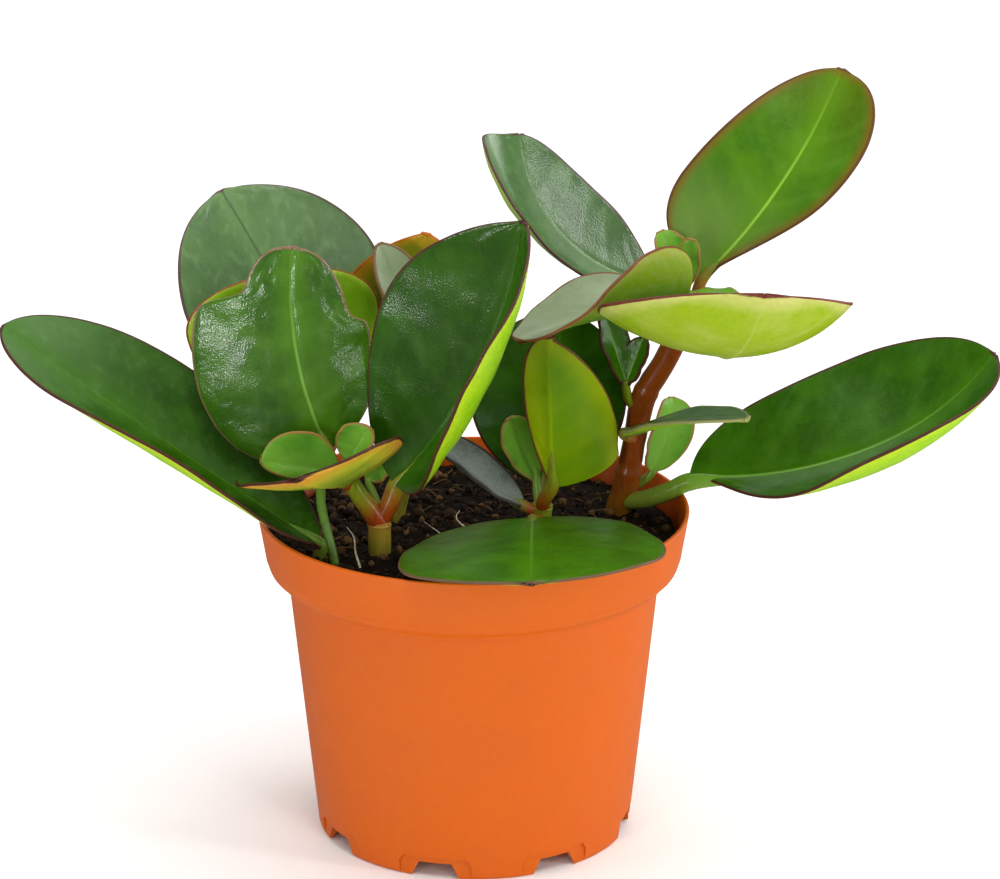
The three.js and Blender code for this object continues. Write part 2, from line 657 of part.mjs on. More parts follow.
function addNode(name, body, color, roughness) {
  const parts = body.decompose().sort((one, other) => other.volume() - one.volume());
  const { vertProperties, triVerts } = parts[0].getMesh();
  const geometry = new THREE.BufferGeometry();
  geometry.setAttribute('position', new THREE.BufferAttribute(Float32Array.from(vertProperties), 3));
  geometry.setIndex(new THREE.BufferAttribute(Uint32Array.from(triVerts), 1));
  geometry.computeVertexNormals();
  const mesh = new THREE.Mesh(geometry, new THREE.MeshStandardMaterial({ color, roughness, metalness: 0 }));
  mesh.name = name;
  plant.add(mesh);
}

const stemSolid = (stem, grown) => stem.paths
  .map((path) => stalkSolid(path.points, path.radii, STEM_SIDES, grown))
  .reduce((whole, path) => whole.add(path));

// What each carrier must be kept clear of, by its name: the stem and the stalks on it.
const taken = new Map([['soil', []]]);
for (const stem of STEMS) {
  addNode(stem.name, stemSolid(stem, 0), stem.color, 0.5);
  taken.set(stem.name, [stemSolid(stem, GAP)]);
}
const clearOf = (body, carrier) => taken.get(carrier).reduce((left, other) => left.subtract(other), body);

const planted = STEMS.map((stem) => taken.get(stem.name)[0]);
for (const entry of LEAVES) {
  const leaf = { ...LEAF_NORMS, ...entry };
  const body = clearOf(bladeSolid(leaf).add(petioleSolid(leaf)), leaf.carrier);
  addNode(leaf.name, body, leaf.color, 0.35);
  taken.get(leaf.carrier).push(petioleSolid(leaf, GAP));
  if (leaf.carrier === 'soil') planted.push(petioleSolid(leaf, GAP));
}

for (const tip of TIPS) {
  const core = stalkSolid(tip.core.points, tip.core.radii, PETIOLE_SIDES);
  const blades = tip.leaves.map((entry) => bladeSolid({ ...LEAF_NORMS, ...entry }, YOUNG_BLADE));
  const body = blades.reduce((whole, blade) => whole.add(blade), core);
  addNode(tip.name, clearOf(body, tip.carrier), tip.color, 0.35);
}

addNode('soil', planted.reduce((left, other) => left.subtract(other), soilSolid()), 0x2c1e15, 0.95);
addNode('pot', potSolid(), 0xe0621e, 0.45);

export default plant;
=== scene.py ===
"""A red-edged peperomia in an orange nursery pot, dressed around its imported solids.

Plant and pot sizes are in millimetres, as on the real thing, and meshes are made in metres.
"""
from __future__ import annotations

import logging
import math
import random
from collections.abc import Sequence
from dataclasses import dataclass, field
from enum import Enum

import bmesh
import bpy
import numpy as np
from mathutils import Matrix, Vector, noise


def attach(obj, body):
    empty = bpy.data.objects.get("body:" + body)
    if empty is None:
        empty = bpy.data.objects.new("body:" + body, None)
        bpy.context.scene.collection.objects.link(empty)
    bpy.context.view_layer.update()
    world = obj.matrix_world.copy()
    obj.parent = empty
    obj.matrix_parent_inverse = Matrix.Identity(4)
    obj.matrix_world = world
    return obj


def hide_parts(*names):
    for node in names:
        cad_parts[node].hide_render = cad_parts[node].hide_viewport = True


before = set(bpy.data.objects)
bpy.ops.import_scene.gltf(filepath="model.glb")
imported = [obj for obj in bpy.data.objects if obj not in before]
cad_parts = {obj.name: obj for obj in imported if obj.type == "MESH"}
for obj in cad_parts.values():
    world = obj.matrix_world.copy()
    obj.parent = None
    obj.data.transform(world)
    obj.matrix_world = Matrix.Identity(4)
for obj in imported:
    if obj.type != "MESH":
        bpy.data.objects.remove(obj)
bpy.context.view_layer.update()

MM = 0.001
SEAM_DISTANCE = 1e-6  # metres, within which corners of a turned form are one
MEND_DISTANCE = 2e-6  # metres, within which corners of a leaf are one
ROUND_STEPS = 5  # steps of each rounded or swept corner of the pot's section
ANY_TURN = 6.28  # radians, for random turns
POINT_VALUES = ("side", "rib", "rim", "along", "vein", "crease")

Point = tuple[float, float, float]
Colour = tuple[int, int, int]
Socket = bpy.types.NodeSocket
Source = Socket | float | tuple[float, float, float, float]
log = logging.getLogger("peperomia")


# ---------------------------------------------------------------- small geometry helpers
def unit(vectors: np.ndarray) -> np.ndarray:
    """Scales vectors to length one.

    Args:
        vectors: Any array whose last axis holds x, y and z.

    Returns:
        The same array with every vector one long.
    """
    return vectors / np.maximum(np.linalg.norm(vectors, axis=-1, keepdims=True), 1e-12)


def smooth_step(low: float, high: float, values: np.ndarray) -> np.ndarray:
    """Rises smoothly from 0 at low to 1 at high.

    Args:
        low: Where the rise begins.
        high: Where it ends.
        values: The places to read it at.

    Returns:
        One number from 0 to 1 for each place.
    """
    share = np.clip((values - low) / (high - low), 0, 1)
    return share * share * (3 - 2 * share)


def read_between(knots: np.ndarray, places: np.ndarray) -> np.ndarray:
    """Reads evenly spaced points at any places between the first and the last.

    Args:
        knots: The points, one per row.
        places: Numbers from 0 at the first point to 1 at the last.

    Returns:
        One point for each place.
    """
    spots = np.linspace(0, 1, len(knots))
    return np.stack([np.interp(places, spots, column) for column in knots.T], 1)


def spread(knots: Sequence[float], count: int) -> np.ndarray:
    """Spreads a few evenly spaced numbers out to count of them."""
    return np.interp(np.linspace(0, 1, count), np.linspace(0, 1, len(knots)), knots)


def ring_faces(rings: int, sides: int, turned: bool = False) -> list[list[int]]:
    """Lists the four-sided faces between rings of corners that follow each other.

    Args:
        rings: How many rings there are.
        sides: How many corners each ring has.
        turned: Whether the faces look the other way.

    Returns:
        Lists of corner numbers, the first ring's corners being the first.
    """
    faces = []
    for start in range(0, (rings - 1) * sides, sides):
        for side in range(sides):
            following = (side + 1) % sides
            face = [start + side, start + following, start + sides + following, start + sides + side]
            faces.append([face[0], *reversed(face[1:])] if turned else face)
    return faces


def curve_through(points: list[Point], steps: int) -> np.ndarray:
    """Runs one smooth centripetal curve through points.

    Args:
        points: The points that the curve passes, first to last.
        steps: How many even steps the curve is read at.

    Returns:
        steps + 1 points along the curve.
    """
    given = np.array(points, float)
    ends = (2 * given[0] - given[1], 2 * given[-1] - given[-2])
    through = np.vstack([ends[0], given, ends[1]])
    result = []
    for step in range(steps + 1):
        place = (len(given) - 1) * step / steps
        span = min(int(place), len(given) - 2)
        before, start, end, after = through[span:span + 4]
        gaps = [max(math.sqrt(np.linalg.norm(two - one)), 1e-3)
                for one, two in ((before, start), (start, end), (end, after))]
        leave = ((start - before) / gaps[0] - (end - before) / (gaps[0] + gaps[1])
                 + (end - start) / gaps[1]) * gaps[1]
        arrive = ((end - start) / gaps[1] - (after - start) / (gaps[1] + gaps[2])
                  + (after - end) / gaps[2]) * gaps[1]
        t = place - span
        result.append(start + leave * t + (3 * (end - start) - 2 * leave - arrive) * t ** 2
                      + (2 * (start - end) + leave + arrive) * t ** 3)
    return np.array(result)


def transported_frames(path: np.ndarray) -> tuple[np.ndarray, np.ndarray]:
    """Carries a pair of side directions along a path without twist.

    Args:
        path: Points along the path.

    Returns:
        Two arrays of unit vectors, both square to the path at each point.
    """
    ahead = unit(np.gradient(path, axis=0))
    helper = np.array([0.0, 1.0, 0.0]) if abs(ahead[0][1]) < 0.9 else np.array([1.0, 0.0, 0.0])
    first = [unit(np.cross(ahead[0], helper))]
    for direction in ahead[1:]:
        kept = first[-1] - direction * (first[-1] @ direction)
        first.append(unit(kept))
    one = np.array(first)
    return one, np.cross(ahead, one)


# ---------------------------------------------------------------- mesh building
@dataclass
class Shells:
    """Collects closed shells with a few numbers per point, and makes one piece of them.

    The finishes read these numbers: side, which is 1 on a leaf's upper side and 0 on its under side,
    rib and rim, the distances to its midrib and its margin in millimetres, along, the share of its
    length, and vein and crease, from 0 to 1.
    """

    points: list[np.ndarray] = field(default_factory=list)
    faces: list[list[int]] = field(default_factory=list)
    slots: list[int] = field(default_factory=list)
    values: dict[str, list[np.ndarray]] = field(
        default_factory=lambda: {name: [] for name in POINT_VALUES})
    count: int = 0

    LUMP_SIZE = 6
    LUMP_SPREAD = 0.5

    def add(self, points: np.ndarray, faces: list[list[int]], slot: int = 0,
            **values: np.ndarray) -> None:
        """Adds one shell.

        Args:
            points: Its corners, in millimetres.
            faces: Lists of corner numbers.
            slot: Which of the piece's materials it takes.
            **values: Numbers per point for the material to read, by name.
        """
        self.points.append(points)
        self.faces.extend([[corner + self.count for corner in face] for face in faces])
        self.slots.extend([slot] * len(faces))
        for name in POINT_VALUES:
            self.values[name].append(np.asarray(values.get(name, np.zeros(len(points))), float))
        self.count += len(points)

    def tube(self, path: np.ndarray, radii: np.ndarray, sides: int, slot: int = 0,
             lumps: float = 0.0, seed: int = 0) -> None:
        """Adds a round stalk that is closed at both ends.

        Args:
            path: Points along its middle.
            radii: One radius per point.
            sides: How many sides its rings have.
            slot: Which of the piece's materials it takes.
            lumps: How far its surface is uneven, as a share of the radius.
            seed: Where in the noise its unevenness is read.
        """
        one, other = transported_frames(path)
        angles = np.arange(sides) * 2 * math.pi / sides
        ring = np.cos(angles)[None, :, None] * one[:, None] + np.sin(angles)[None, :, None] * other[:, None]
        uneven = np.ones((len(path), sides))
        if lumps:
            for row in range(len(path)):
                for side in range(sides):
                    spot = path[row] / self.LUMP_SIZE + ring[row, side] * self.LUMP_SPREAD + seed
                    uneven[row, side] += lumps * noise.noise(Vector(spot))
        points = path[:, None] + ring * (radii[:, None] * uneven)[..., None]
        faces = ring_faces(len(path), sides)
        last = (len(path) - 1) * sides
        faces.append(list(range(sides))[::-1])
        faces.append([last + side for side in range(sides)])
        along = np.repeat(np.linspace(0, 1, len(path)), sides)
        self.add(points.reshape(-1, 3), faces, slot, along=along)

    def piece(self, name: str, materials: list[bpy.types.Material]) -> bpy.types.Object:
        """Makes the collected shells one object that rides on the root body.

        Args:
            name: The piece's name.
            materials: Its materials, in slot order.

        Returns:
            The new object, linked to the scene.
        """
        mesh = bpy.data.meshes.new(name)
        points = np.vstack(self.points) * MM
        mesh.from_pydata(points.tolist(), [], self.faces)
        for value_name in POINT_VALUES:
            layer = mesh.attributes.new(value_name, "FLOAT", "POINT")
            layer.data.foreach_set("value", np.concatenate(self.values[value_name]))
        mesh.polygons.foreach_set("material_index", self.slots)
        mesh.polygons.foreach_set("use_smooth", [True] * len(mesh.polygons))
        for material in materials:
            mesh.materials.append(material)
        mesh.update()
        piece = bpy.data.objects.new(name, mesh)
        bpy.context.scene.collection.objects.link(piece)
        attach(piece, "root")
        return piece


def mend(piece: bpy.types.Object) -> None:
    """Joins the corners of a piece that meet, and drops the faces which that leaves flat.

    Args:
        piece: A mesh object.
    """
    form = bmesh.new()
    form.from_mesh(piece.data)
    bmesh.ops.remove_doubles(form, verts=form.verts, dist=MEND_DISTANCE)
    bmesh.ops.dissolve_degenerate(form, edges=form.edges, dist=MEND_DISTANCE)
    form.to_mesh(piece.data)
    form.free()


def sharpen(piece: bpy.types.Object, degrees: float) -> None:
    """Shades a piece smooth, except across edges that turn more than an angle.

    Args:
        piece: A mesh object.
        degrees: The angle from which an edge looks sharp.
    """
    form = bmesh.new()
    form.from_mesh(piece.data)
    for face in form.faces:
        face.smooth = True
    for edge in form.edges:
        edge.smooth = edge.calc_face_angle(0.0) < math.radians(degrees)
    form.to_mesh(piece.data)
    form.free()


# ---------------------------------------------------------------- materials
def linear(colour: Colour) -> tuple[float, float, float, float]:
    """Turns a display colour into the linear one that shaders use.

    Args:
        colour: Red, green and blue from 0 to 255.

    Returns:
        Linear red, green, blue and an alpha of one.
    """
    shares = [part / 255 for part in colour]
    bent = [part / 12.92 if part <= 0.04045 else ((part + 0.055) / 1.055) ** 2.4 for part in shares]
    return (bent[0], bent[1], bent[2], 1.0)


class Recipe:
    """Wires the nodes of one material."""

    def __init__(self, name: str) -> None:
        """Starts a material with an empty Principled shader.

        Args:
            name: The material's name.
        """
        self.material = bpy.data.materials.new(name)
        self.material.use_nodes = True
        self.nodes = self.material.node_tree.nodes
        self.links = self.material.node_tree.links
        self.shader = self.nodes["Principled BSDF"]
        self.place = self.nodes.new("ShaderNodeTexCoord").outputs["Object"]
        self.values: dict[str, Socket] = {}

    def feed(self, socket: Socket, source: Source) -> None:
        """Links an output to a socket, or sets the socket's value.

        Args:
            socket: The input.
            source: An output socket, a number or a colour.
        """
        if isinstance(source, Socket):
            self.links.new(source, socket)
        else:
            socket.default_value = source

    def shade(self, name: str, source: Source) -> None:
        """Feeds one socket of the shader, by its full name."""
        self.feed(self.shader.inputs[name], source)

    def value(self, name: str) -> Socket:
        """Reads a number that the mesh holds per point.

        Args:
            name: The number's name.

        Returns:
            The number, from the same node on every call.
        """
        if name not in self.values:
            node = self.nodes.new("ShaderNodeAttribute")
            node.attribute_name = name
            self.values[name] = node.outputs["Fac"]
        return self.values[name]

    def speckle(self, size: float, detail: float = 2.0, stretch: Point = (1, 1, 1)) -> Socket:
        """Gives soft noise.

        Args:
            size: Rough size of its patches in millimetres.
            detail: How much finer noise it carries.
            stretch: How much tighter it is along x, y and z.

        Returns:
            An output from 0 to 1.
        """
        mapping = self.nodes.new("ShaderNodeMapping")
        mapping.inputs["Scale"].default_value = stretch
        self.links.new(self.place, mapping.inputs["Vector"])
        node = self.nodes.new("ShaderNodeTexNoise")
        node.inputs["Scale"].default_value = 1 / (size * MM)
        node.inputs["Detail"].default_value = detail
        self.links.new(mapping.outputs["Vector"], node.inputs["Vector"])
        return node.outputs["Fac"]

    def cells(self, size: float) -> Socket:
        """Divides space into small cells.

        Args:
            size: Rough size of a cell in millimetres.

        Returns:
            The distance to the middle of the nearest cell.
        """
        node = self.nodes.new("ShaderNodeTexVoronoi")
        node.inputs["Scale"].default_value = 1 / (size * MM)
        self.links.new(self.place, node.inputs["Vector"])
        return node.outputs["Distance"]

    def span(self, source: Source, low: float, high: float, start: float = 0.0, end: float = 1.0) -> Socket:
        """Maps a range of numbers smoothly to another.

        Args:
            source: What to map.
            low: The number that gives start.
            high: The number that gives end.
            start: The result at low and before it.
            end: The result at high and past it.

        Returns:
            The mapped output.
        """
        node = self.nodes.new("ShaderNodeMapRange")
        node.interpolation_type = "SMOOTHSTEP"
        for name, number in (("From Min", low), ("From Max", high), ("To Min", start), ("To Max", end)):
            node.inputs[name].default_value = number
        self.feed(node.inputs["Value"], source)
        return node.outputs["Result"]

    def arithmetic(self, kind: str, one: Source, other: Source) -> Socket:
        """Does one step of arithmetic.

        Args:
            kind: The operation, MULTIPLY or ADD.
            one: The first number or output.
            other: The second.

        Returns:
            The result.
        """
        node = self.nodes.new("ShaderNodeMath")
        node.operation = kind
        self.feed(node.inputs[0], one)
        self.feed(node.inputs[1], other)
        return node.outputs[0]

    def times(self, one: Source, other: Source) -> Socket:
        """Multiplies two numbers or outputs."""
        return self.arithmetic("MULTIPLY", one, other)

    def plus(self, one: Source, other: Source) -> Socket:
        """Adds two numbers or outputs."""
        return self.arithmetic("ADD", one, other)

    def mix(self, share: Source, one: Source, other: Source) -> Socket:
        """Mixes two colours.

        Args:
            share: How much of the second there is, from 0 to 1.
            one: The first colour or output.
            other: The second.

        Returns:
            The mixed colour.
        """
        node = self.nodes.new("ShaderNodeMix")
        node.data_type = "RGBA"
        self.feed(node.inputs["Factor"], share)
        self.feed(node.inputs[6], one)
        self.feed(node.inputs[7], other)
        return node.outputs[2]

    def tint(self, colour: Source, tone: Colour, mask: Source, share: float = 1.0) -> Socket:
        """Lays a tone over a colour.

        Args:
            colour: The colour below, linear.
            tone: The display colour that is laid over it.
            mask: Where it is laid, from 0 to 1.
            share: How much of it shows where the mask is 1.

        Returns:
            The tinted colour.
        """
        amount = mask if share == 1.0 else self.times(mask, share)
        return self.mix(amount, colour, linear(tone))

    def bump(self, height: Source, depth: float, strength: float = 1.0) -> None:
        """Lets a height shape the light on the surface and on the coat over it.

        Args:
            height: An output that is higher where the surface stands out.
            depth: How many millimetres a height of 1 is.
            strength: How much of it shows.
        """
        node = self.nodes.new("ShaderNodeBump")
        node.inputs["Distance"].default_value = depth * MM
        node.inputs["Strength"].default_value = strength
        self.feed(node.inputs["Height"], height)
        for name in ("Normal", "Coat Normal"):
            self.shade(name, node.outputs["Normal"])


@dataclass(frozen=True)
class LeafFinish:
    """The waxy skin of a leaf, with its two sides, its midrib and its dark edge.

    Attributes:
        upper: The upper side, with upper_light in patches, in flecks and beside the midrib.
        foot: A colour laid on the upper side near the stalk: painted shade on LONG, painted sheen on BRIGHT.
        tip: A colour laid on the upper side near the tip: painted sheen on LONG, a darker tone on BRIGHT.
        blush: A warm colour along the margin of the upper side.
        under: The under side, with under_warm near the margin and under_core in the middle.
        warm_width: How far in from the margin under_warm reaches, in millimetres.
        edge: The thin line of the margin, which is edge_width millimetres wide.
        rib: The midrib's line on the upper side.
        rib_share: How strongly the midrib shows near the stalk.
        rib_end: How much of that is left at the tip.
        streak: How strongly streaks of painted sheen, in sheen_streak_tone, show.
        speck: How strongly specks of the edge's colour show.
        roughness: How rough the upper side is where it is smoothest.
        coat: How much wax lies on it.
        specular: How strongly the skin below the wax reflects.
        grain: How deep the fine grain is, in millimetres.
        creasing: How much deeper than the grain a crease is.
    """

    upper: Colour = (38, 80, 2)
    upper_light: Colour = (64, 116, 6)
    foot: Colour | None = None
    tip: Colour | None = None
    blush: Colour | None = None
    under: Colour = (142, 192, 14)
    under_warm: Colour = (174, 200, 36)
    under_core: Colour | None = (104, 150, 40)
    warm_width: float = 5.0
    edge: Colour = (72, 40, 30)
    edge_width: float = 0.48
    rib: Colour = (128, 176, 72)
    rib_share: float = 0.75
    rib_end: float = 0.12
    streak: float = 0.06
    sheen_streak_tone: Colour = (120, 156, 96)
    speck: float = 0.0
    roughness: float = 0.32
    coat: float = 0.22
    specular: float = 0.06
    grain: float = 0.045
    creasing: float = 5.0

    PATCH_SIZE = 11.0
    FLECK_SIZE = 1.6
    STREAK_SIZE = 2.6
    SPECK_SIZE = 1.1
    DULL_PATCH_SIZE = 5.0
    PORE_SIZE = 0.5
    GRAIN_SIZE = 2.6
    FOLD_SIZE = 1.9
    ALONG_LEAF = (1.0, 1.0, 0.3)
    FOOT_ENDS = (0.05, 0.5)
    TIP_STARTS = (0.6, 0.97)
    GLOW_WIDTH = 7.0
    RIB_WIDTH = (0.08, 0.65)
    RIB_FADES = (0.3, 1.0)
    BLUSH_WIDTH = (0.3, 3.4)
    WARM_FROM = 0.3
    CORE_DEPTH = (6.0, 14.0)
    EDGE_RAG = 0.6
    EDGE_BLUR = 1.3
    UNDER_ROUGHNESS = 0.5
    COAT_ROUGHNESS = 0.16

    def material(self, name: str) -> bpy.types.Material:
        """Makes the leaf material.

        Args:
            name: Its name.

        Returns:
            The material, which reads side, rib, rim, along, vein and crease from the mesh.
        """
        recipe = Recipe(name)
        patches = recipe.span(recipe.speckle(self.PATCH_SIZE, 4.0), 0.35, 0.65)
        flecks = recipe.span(recipe.speckle(self.FLECK_SIZE, 3.0), 0.35, 0.7)
        line = self.midrib(recipe)
        upper = self.upper_side(recipe, patches, flecks, line)
        under = self.under_side(recipe, patches, flecks, line)
        colour = recipe.mix(recipe.value("side"), under, upper)
        recipe.shade("Base Color", self.edged(recipe, colour))
        self.polish(recipe)
        return recipe.material

    def midrib(self, recipe: Recipe) -> Socket:
        """Draws the line of the midrib.

        Args:
            recipe: The material in the making.

        Returns:
            How strongly it shows at each place, fading towards the tip.
        """
        fading = recipe.span(recipe.value("along"), *self.RIB_FADES,
                             self.rib_share, self.rib_share * self.rib_end)
        return recipe.times(recipe.span(recipe.value("rib"), *self.RIB_WIDTH, 1.0, 0.0), fading)

    def upper_side(self, recipe: Recipe, patches: Socket, flecks: Socket, line: Socket) -> Socket:
        """Colours the upper side.

        Args:
            recipe: The material in the making.
            patches: Where it is lighter in broad patches.
            flecks: Where it is lighter in fine flecks.
            line: Where the midrib shows.

        Returns:
            Its colour.
        """
        along = recipe.value("along")
        colour = recipe.tint(linear(self.upper), self.upper_light, patches, 0.42)
        # Painted light near the ends: foot is painted shade on LONG and painted sheen on BRIGHT; tip is
        # painted sheen on LONG.
        if self.foot:
            colour = recipe.tint(colour, self.foot, recipe.span(along, *self.FOOT_ENDS, 0.8, 0.0))
        if self.tip:
            colour = recipe.tint(colour, self.tip, recipe.span(along, *self.TIP_STARTS, 0.0, 0.85))
        glow = recipe.span(recipe.value("rib"), 0.0, self.GLOW_WIDTH, 0.55, 0.0)
        colour = recipe.tint(colour, self.upper_light, glow)
        colour = recipe.tint(colour, self.rib, recipe.value("vein"), 0.05)
        colour = recipe.tint(colour, self.upper_light, flecks, 0.16)
        # Painted sheen: fine light streaks along the leaf stand in for sheen on its small ridges.
        streaks = recipe.speckle(self.STREAK_SIZE, 4.0, self.ALONG_LEAF)
        colour = recipe.tint(colour, self.sheen_streak_tone, recipe.span(streaks, 0.48, 0.75, 0.0, self.streak))
        colour = recipe.tint(colour, self.rib, line)
        if self.blush:
            margin = recipe.span(recipe.value("rim"), *self.BLUSH_WIDTH, 0.7, 0.0)
            colour = recipe.tint(colour, self.blush, margin)
        return colour

    def under_side(self, recipe: Recipe, patches: Socket, flecks: Socket, line: Socket) -> Socket:
        """Colours the under side.

        Args:
            recipe: The material in the making.
            patches: Where it is warmer in broad patches.
            flecks: Where it is darker in fine flecks.
            line: Where the midrib shows.

        Returns:
            Its colour.
        """
        rim = recipe.value("rim")
        warm = recipe.plus(recipe.span(rim, self.WARM_FROM, self.warm_width, 0.75, 0.0),
                           recipe.times(patches, 0.2))
        colour = recipe.tint(linear(self.under), self.under_warm, warm)
        if self.under_core:
            colour = recipe.tint(colour, self.under_core, recipe.span(rim, *self.CORE_DEPTH, 0.0, 0.7))
        colour = recipe.tint(colour, self.upper_light, flecks, 0.12)
        colour = recipe.tint(colour, self.under_warm, recipe.value("vein"), 0.1)
        return recipe.tint(colour, self.under_warm, line, 0.8)

    def edged(self, recipe: Recipe, colour: Socket) -> Socket:
        """Adds the specks and the ragged line of the margin.

        Args:
            recipe: The material in the making.
            colour: The colour of both sides.

        Returns:
            The colour with them.
        """
        if self.speck:
            specks = recipe.span(recipe.cells(self.SPECK_SIZE), 0.12, 0.4, self.speck, 0.0)
            colour = recipe.tint(colour, self.edge, specks)
        rag = self.edge_width * self.EDGE_RAG
        ragged = recipe.plus(recipe.value("rim"), recipe.times(recipe.speckle(3.0), rag))
        border = recipe.span(ragged, rag, self.edge_width * self.EDGE_BLUR, 1.0, 0.0)
        return recipe.tint(colour, self.edge, border)

    def polish(self, recipe: Recipe) -> None:
        """Sets how the leaf shines, with its grain and its creases.

        Args:
            recipe: The material in the making.
        """
        dull = recipe.span(recipe.speckle(self.DULL_PATCH_SIZE, 3.0), 0.3, 0.75,
                           self.roughness, self.roughness + 0.13)
        below = (self.UNDER_ROUGHNESS,) * 3 + (1.0,)
        recipe.shade("Roughness", recipe.mix(recipe.value("side"), below, dull))
        recipe.shade("Coat Weight", self.coat)
        recipe.shade("Coat Roughness", self.COAT_ROUGHNESS)
        recipe.shade("Specular IOR Level", self.specular)
        grain = recipe.plus(recipe.cells(self.PORE_SIZE),
                            recipe.times(recipe.speckle(self.GRAIN_SIZE, 3.0), 0.8))
        folds = recipe.times(recipe.value("crease"), recipe.speckle(self.FOLD_SIZE, 3.0))
        recipe.bump(recipe.plus(grain, recipe.times(folds, self.creasing)), self.grain, 0.7)


@dataclass(frozen=True)
class StalkFinish:
    """The fleshy skin of a stem or a leaf stalk.

    Attributes:
        low: The colour of its lower end.
        high: The colour of its upper end.
        streak: The colour of its fine streaks.
        turn: Where the colour changes, as a share of its length.
    """

    low: Colour
    high: Colour
    streak: Colour
    turn: float = 0.5

    STREAK_SIZE = 1.0
    PORE_SIZE = 1.7
    GRAIN_SIZE = 0.9
    STREAK_STRETCH = (1.0, 1.0, 0.12)
    GRAIN_STRETCH = (1.0, 1.0, 0.3)

    def material(self, name: str) -> bpy.types.Material:
        """Makes the stalk material.

        Args:
            name: Its name.

        Returns:
            The material, which reads along from the mesh.
        """
        recipe = Recipe(name)
        drift = recipe.times(recipe.speckle(4.0, 3.0), 0.3)
        share = recipe.span(recipe.plus(recipe.value("along"), drift), self.turn - 0.2, self.turn + 0.45)
        colour = recipe.tint(linear(self.low), self.high, share)
        streaks = recipe.speckle(self.STREAK_SIZE, 3.0, self.STREAK_STRETCH)
        colour = recipe.tint(colour, self.streak, recipe.span(streaks, 0.5, 0.75, 0.0, 0.45))
        pores = recipe.span(recipe.cells(self.PORE_SIZE), 0.05, 0.2, 0.35, 0.0)
        recipe.shade("Base Color", recipe.tint(colour, self.low, pores))
        recipe.shade("Roughness", 0.34)
        recipe.shade("Coat Weight", 0.25)
        recipe.shade("Coat Roughness", 0.2)
        recipe.shade("Specular IOR Level", 0.15)
        recipe.bump(recipe.speckle(self.GRAIN_SIZE, 3.0, self.GRAIN_STRETCH), 0.12, 0.7)
        return recipe.material


@dataclass(frozen=True)
class PotFinish:
    """Thin moulded orange plastic with a satin skin.

    Attributes:
        body: The plastic's colour.
        deep: Its deeper colour in broad clouds.
        pale: Its paler colour in fine specks.
        shade_colour: The colour of the painted shade on the inside of the rim band.
    """

    body: Colour = (202, 90, 0)
    deep: Colour = (188, 80, 0)
    pale: Colour = (224, 122, 28)
    shade_colour: Colour = (104, 42, 6)

    CLOUD_SIZE = 26.0
    SPECK_SIZE = 1.3
    SHADE_PATCH_SIZE = 4.0
    GRAIN_SIZE = 0.7

    def material(self) -> bpy.types.Material:
        """Makes the pot's plastic.

        Returns:
            The material, which reads painted_shade from the mesh for the painted shade inside the band.
        """
        recipe = Recipe("pot_plastic")
        clouds = recipe.span(recipe.speckle(self.CLOUD_SIZE, 3.0), 0.35, 0.7)
        specks = recipe.span(recipe.speckle(self.SPECK_SIZE, 4.0), 0.35, 0.7)
        colour = recipe.tint(linear(self.body), self.deep, clouds, 0.2)
        colour = recipe.tint(colour, self.pale, specks, 0.07)
        # Painted shade inside the rim band: none at the rim, darker further below it, broken into patches.
        shade_patches = recipe.span(recipe.speckle(self.SHADE_PATCH_SIZE, 4.0), 0.3, 0.7, 0.7, 1.0)
        colour = recipe.tint(colour, self.shade_colour, recipe.times(recipe.value("painted_shade"), shade_patches))
        recipe.shade("Base Color", colour)
        recipe.shade("Roughness", recipe.span(clouds, 0.0, 1.0, 0.38, 0.48))
        recipe.shade("Specular IOR Level", 0.3)
        recipe.shade("Subsurface Weight", 0.06)
        recipe.shade("Subsurface Scale", 4 * MM)
        recipe.bump(recipe.speckle(self.GRAIN_SIZE, 3.0), 0.035, 0.6)
        return recipe.material


@dataclass(frozen=True)
class SoilFinish:
    """Damp potting soil: almost black, with brown and tan crumbs and pale roots."""

    dark: Colour = (14, 8, 3)
    brown: Colour = (34, 21, 11)
    tan: Colour = (120, 86, 50)
    root: Colour = (206, 196, 172)

    CLOD_SIZE = 3.5
    FLECK_SIZE = 1.5
    FLECKED_PATCH_SIZE = 5.0

    def bed(self) -> bpy.types.Material:
        """Makes the material of the soil's surface.

        Returns:
            The material, in clods with tan flecks in places.
        """
        recipe = Recipe("soil_bed")
        clods = recipe.span(recipe.speckle(self.CLOD_SIZE, 6.0), 0.35, 0.7)
        colour = recipe.tint(linear(self.dark), self.brown, clods)
        flecks = recipe.span(recipe.cells(self.FLECK_SIZE), 0.1, 0.24, 0.75, 0.0)
        patches = recipe.span(recipe.speckle(self.FLECKED_PATCH_SIZE), 0.55, 0.65)
        recipe.shade("Base Color", recipe.tint(colour, self.tan, recipe.times(flecks, patches)))
        recipe.shade("Roughness", 0.9)
        recipe.shade("Specular IOR Level", 0.1)
        recipe.bump(recipe.plus(recipe.speckle(1.2, 6.0), recipe.cells(1.8)), 0.9)
        return recipe.material

    def crumb(self) -> bpy.types.Material:
        """Makes the material of loose crumbs and fibres.

        Returns:
            The material, the more tan the higher along is.
        """
        recipe = Recipe("soil_crumb")
        colour = recipe.tint(linear(self.dark), self.tan, recipe.value("along"))
        browned = recipe.span(recipe.speckle(1.0, 4.0), 0.3, 0.7, 0.0, 0.5)
        recipe.shade("Base Color", recipe.tint(colour, self.brown, browned))
        recipe.shade("Roughness", 0.85)
        recipe.shade("Specular IOR Level", 0.15)
        recipe.bump(recipe.speckle(0.5, 4.0), 0.3, 0.8)
        return recipe.material

    def pale_root(self) -> bpy.types.Material:
        """Makes the material of the fine pale roots.

        Returns:
            The material, stained tan in places.
        """
        recipe = Recipe("pale_root")
        stained = recipe.span(recipe.speckle(2.0, 3.0), 0.3, 0.7, 0.0, 0.6)
        recipe.shade("Base Color", recipe.tint(linear(self.root), self.tan, stained))
        recipe.shade("Roughness", 0.6)
        return recipe.material


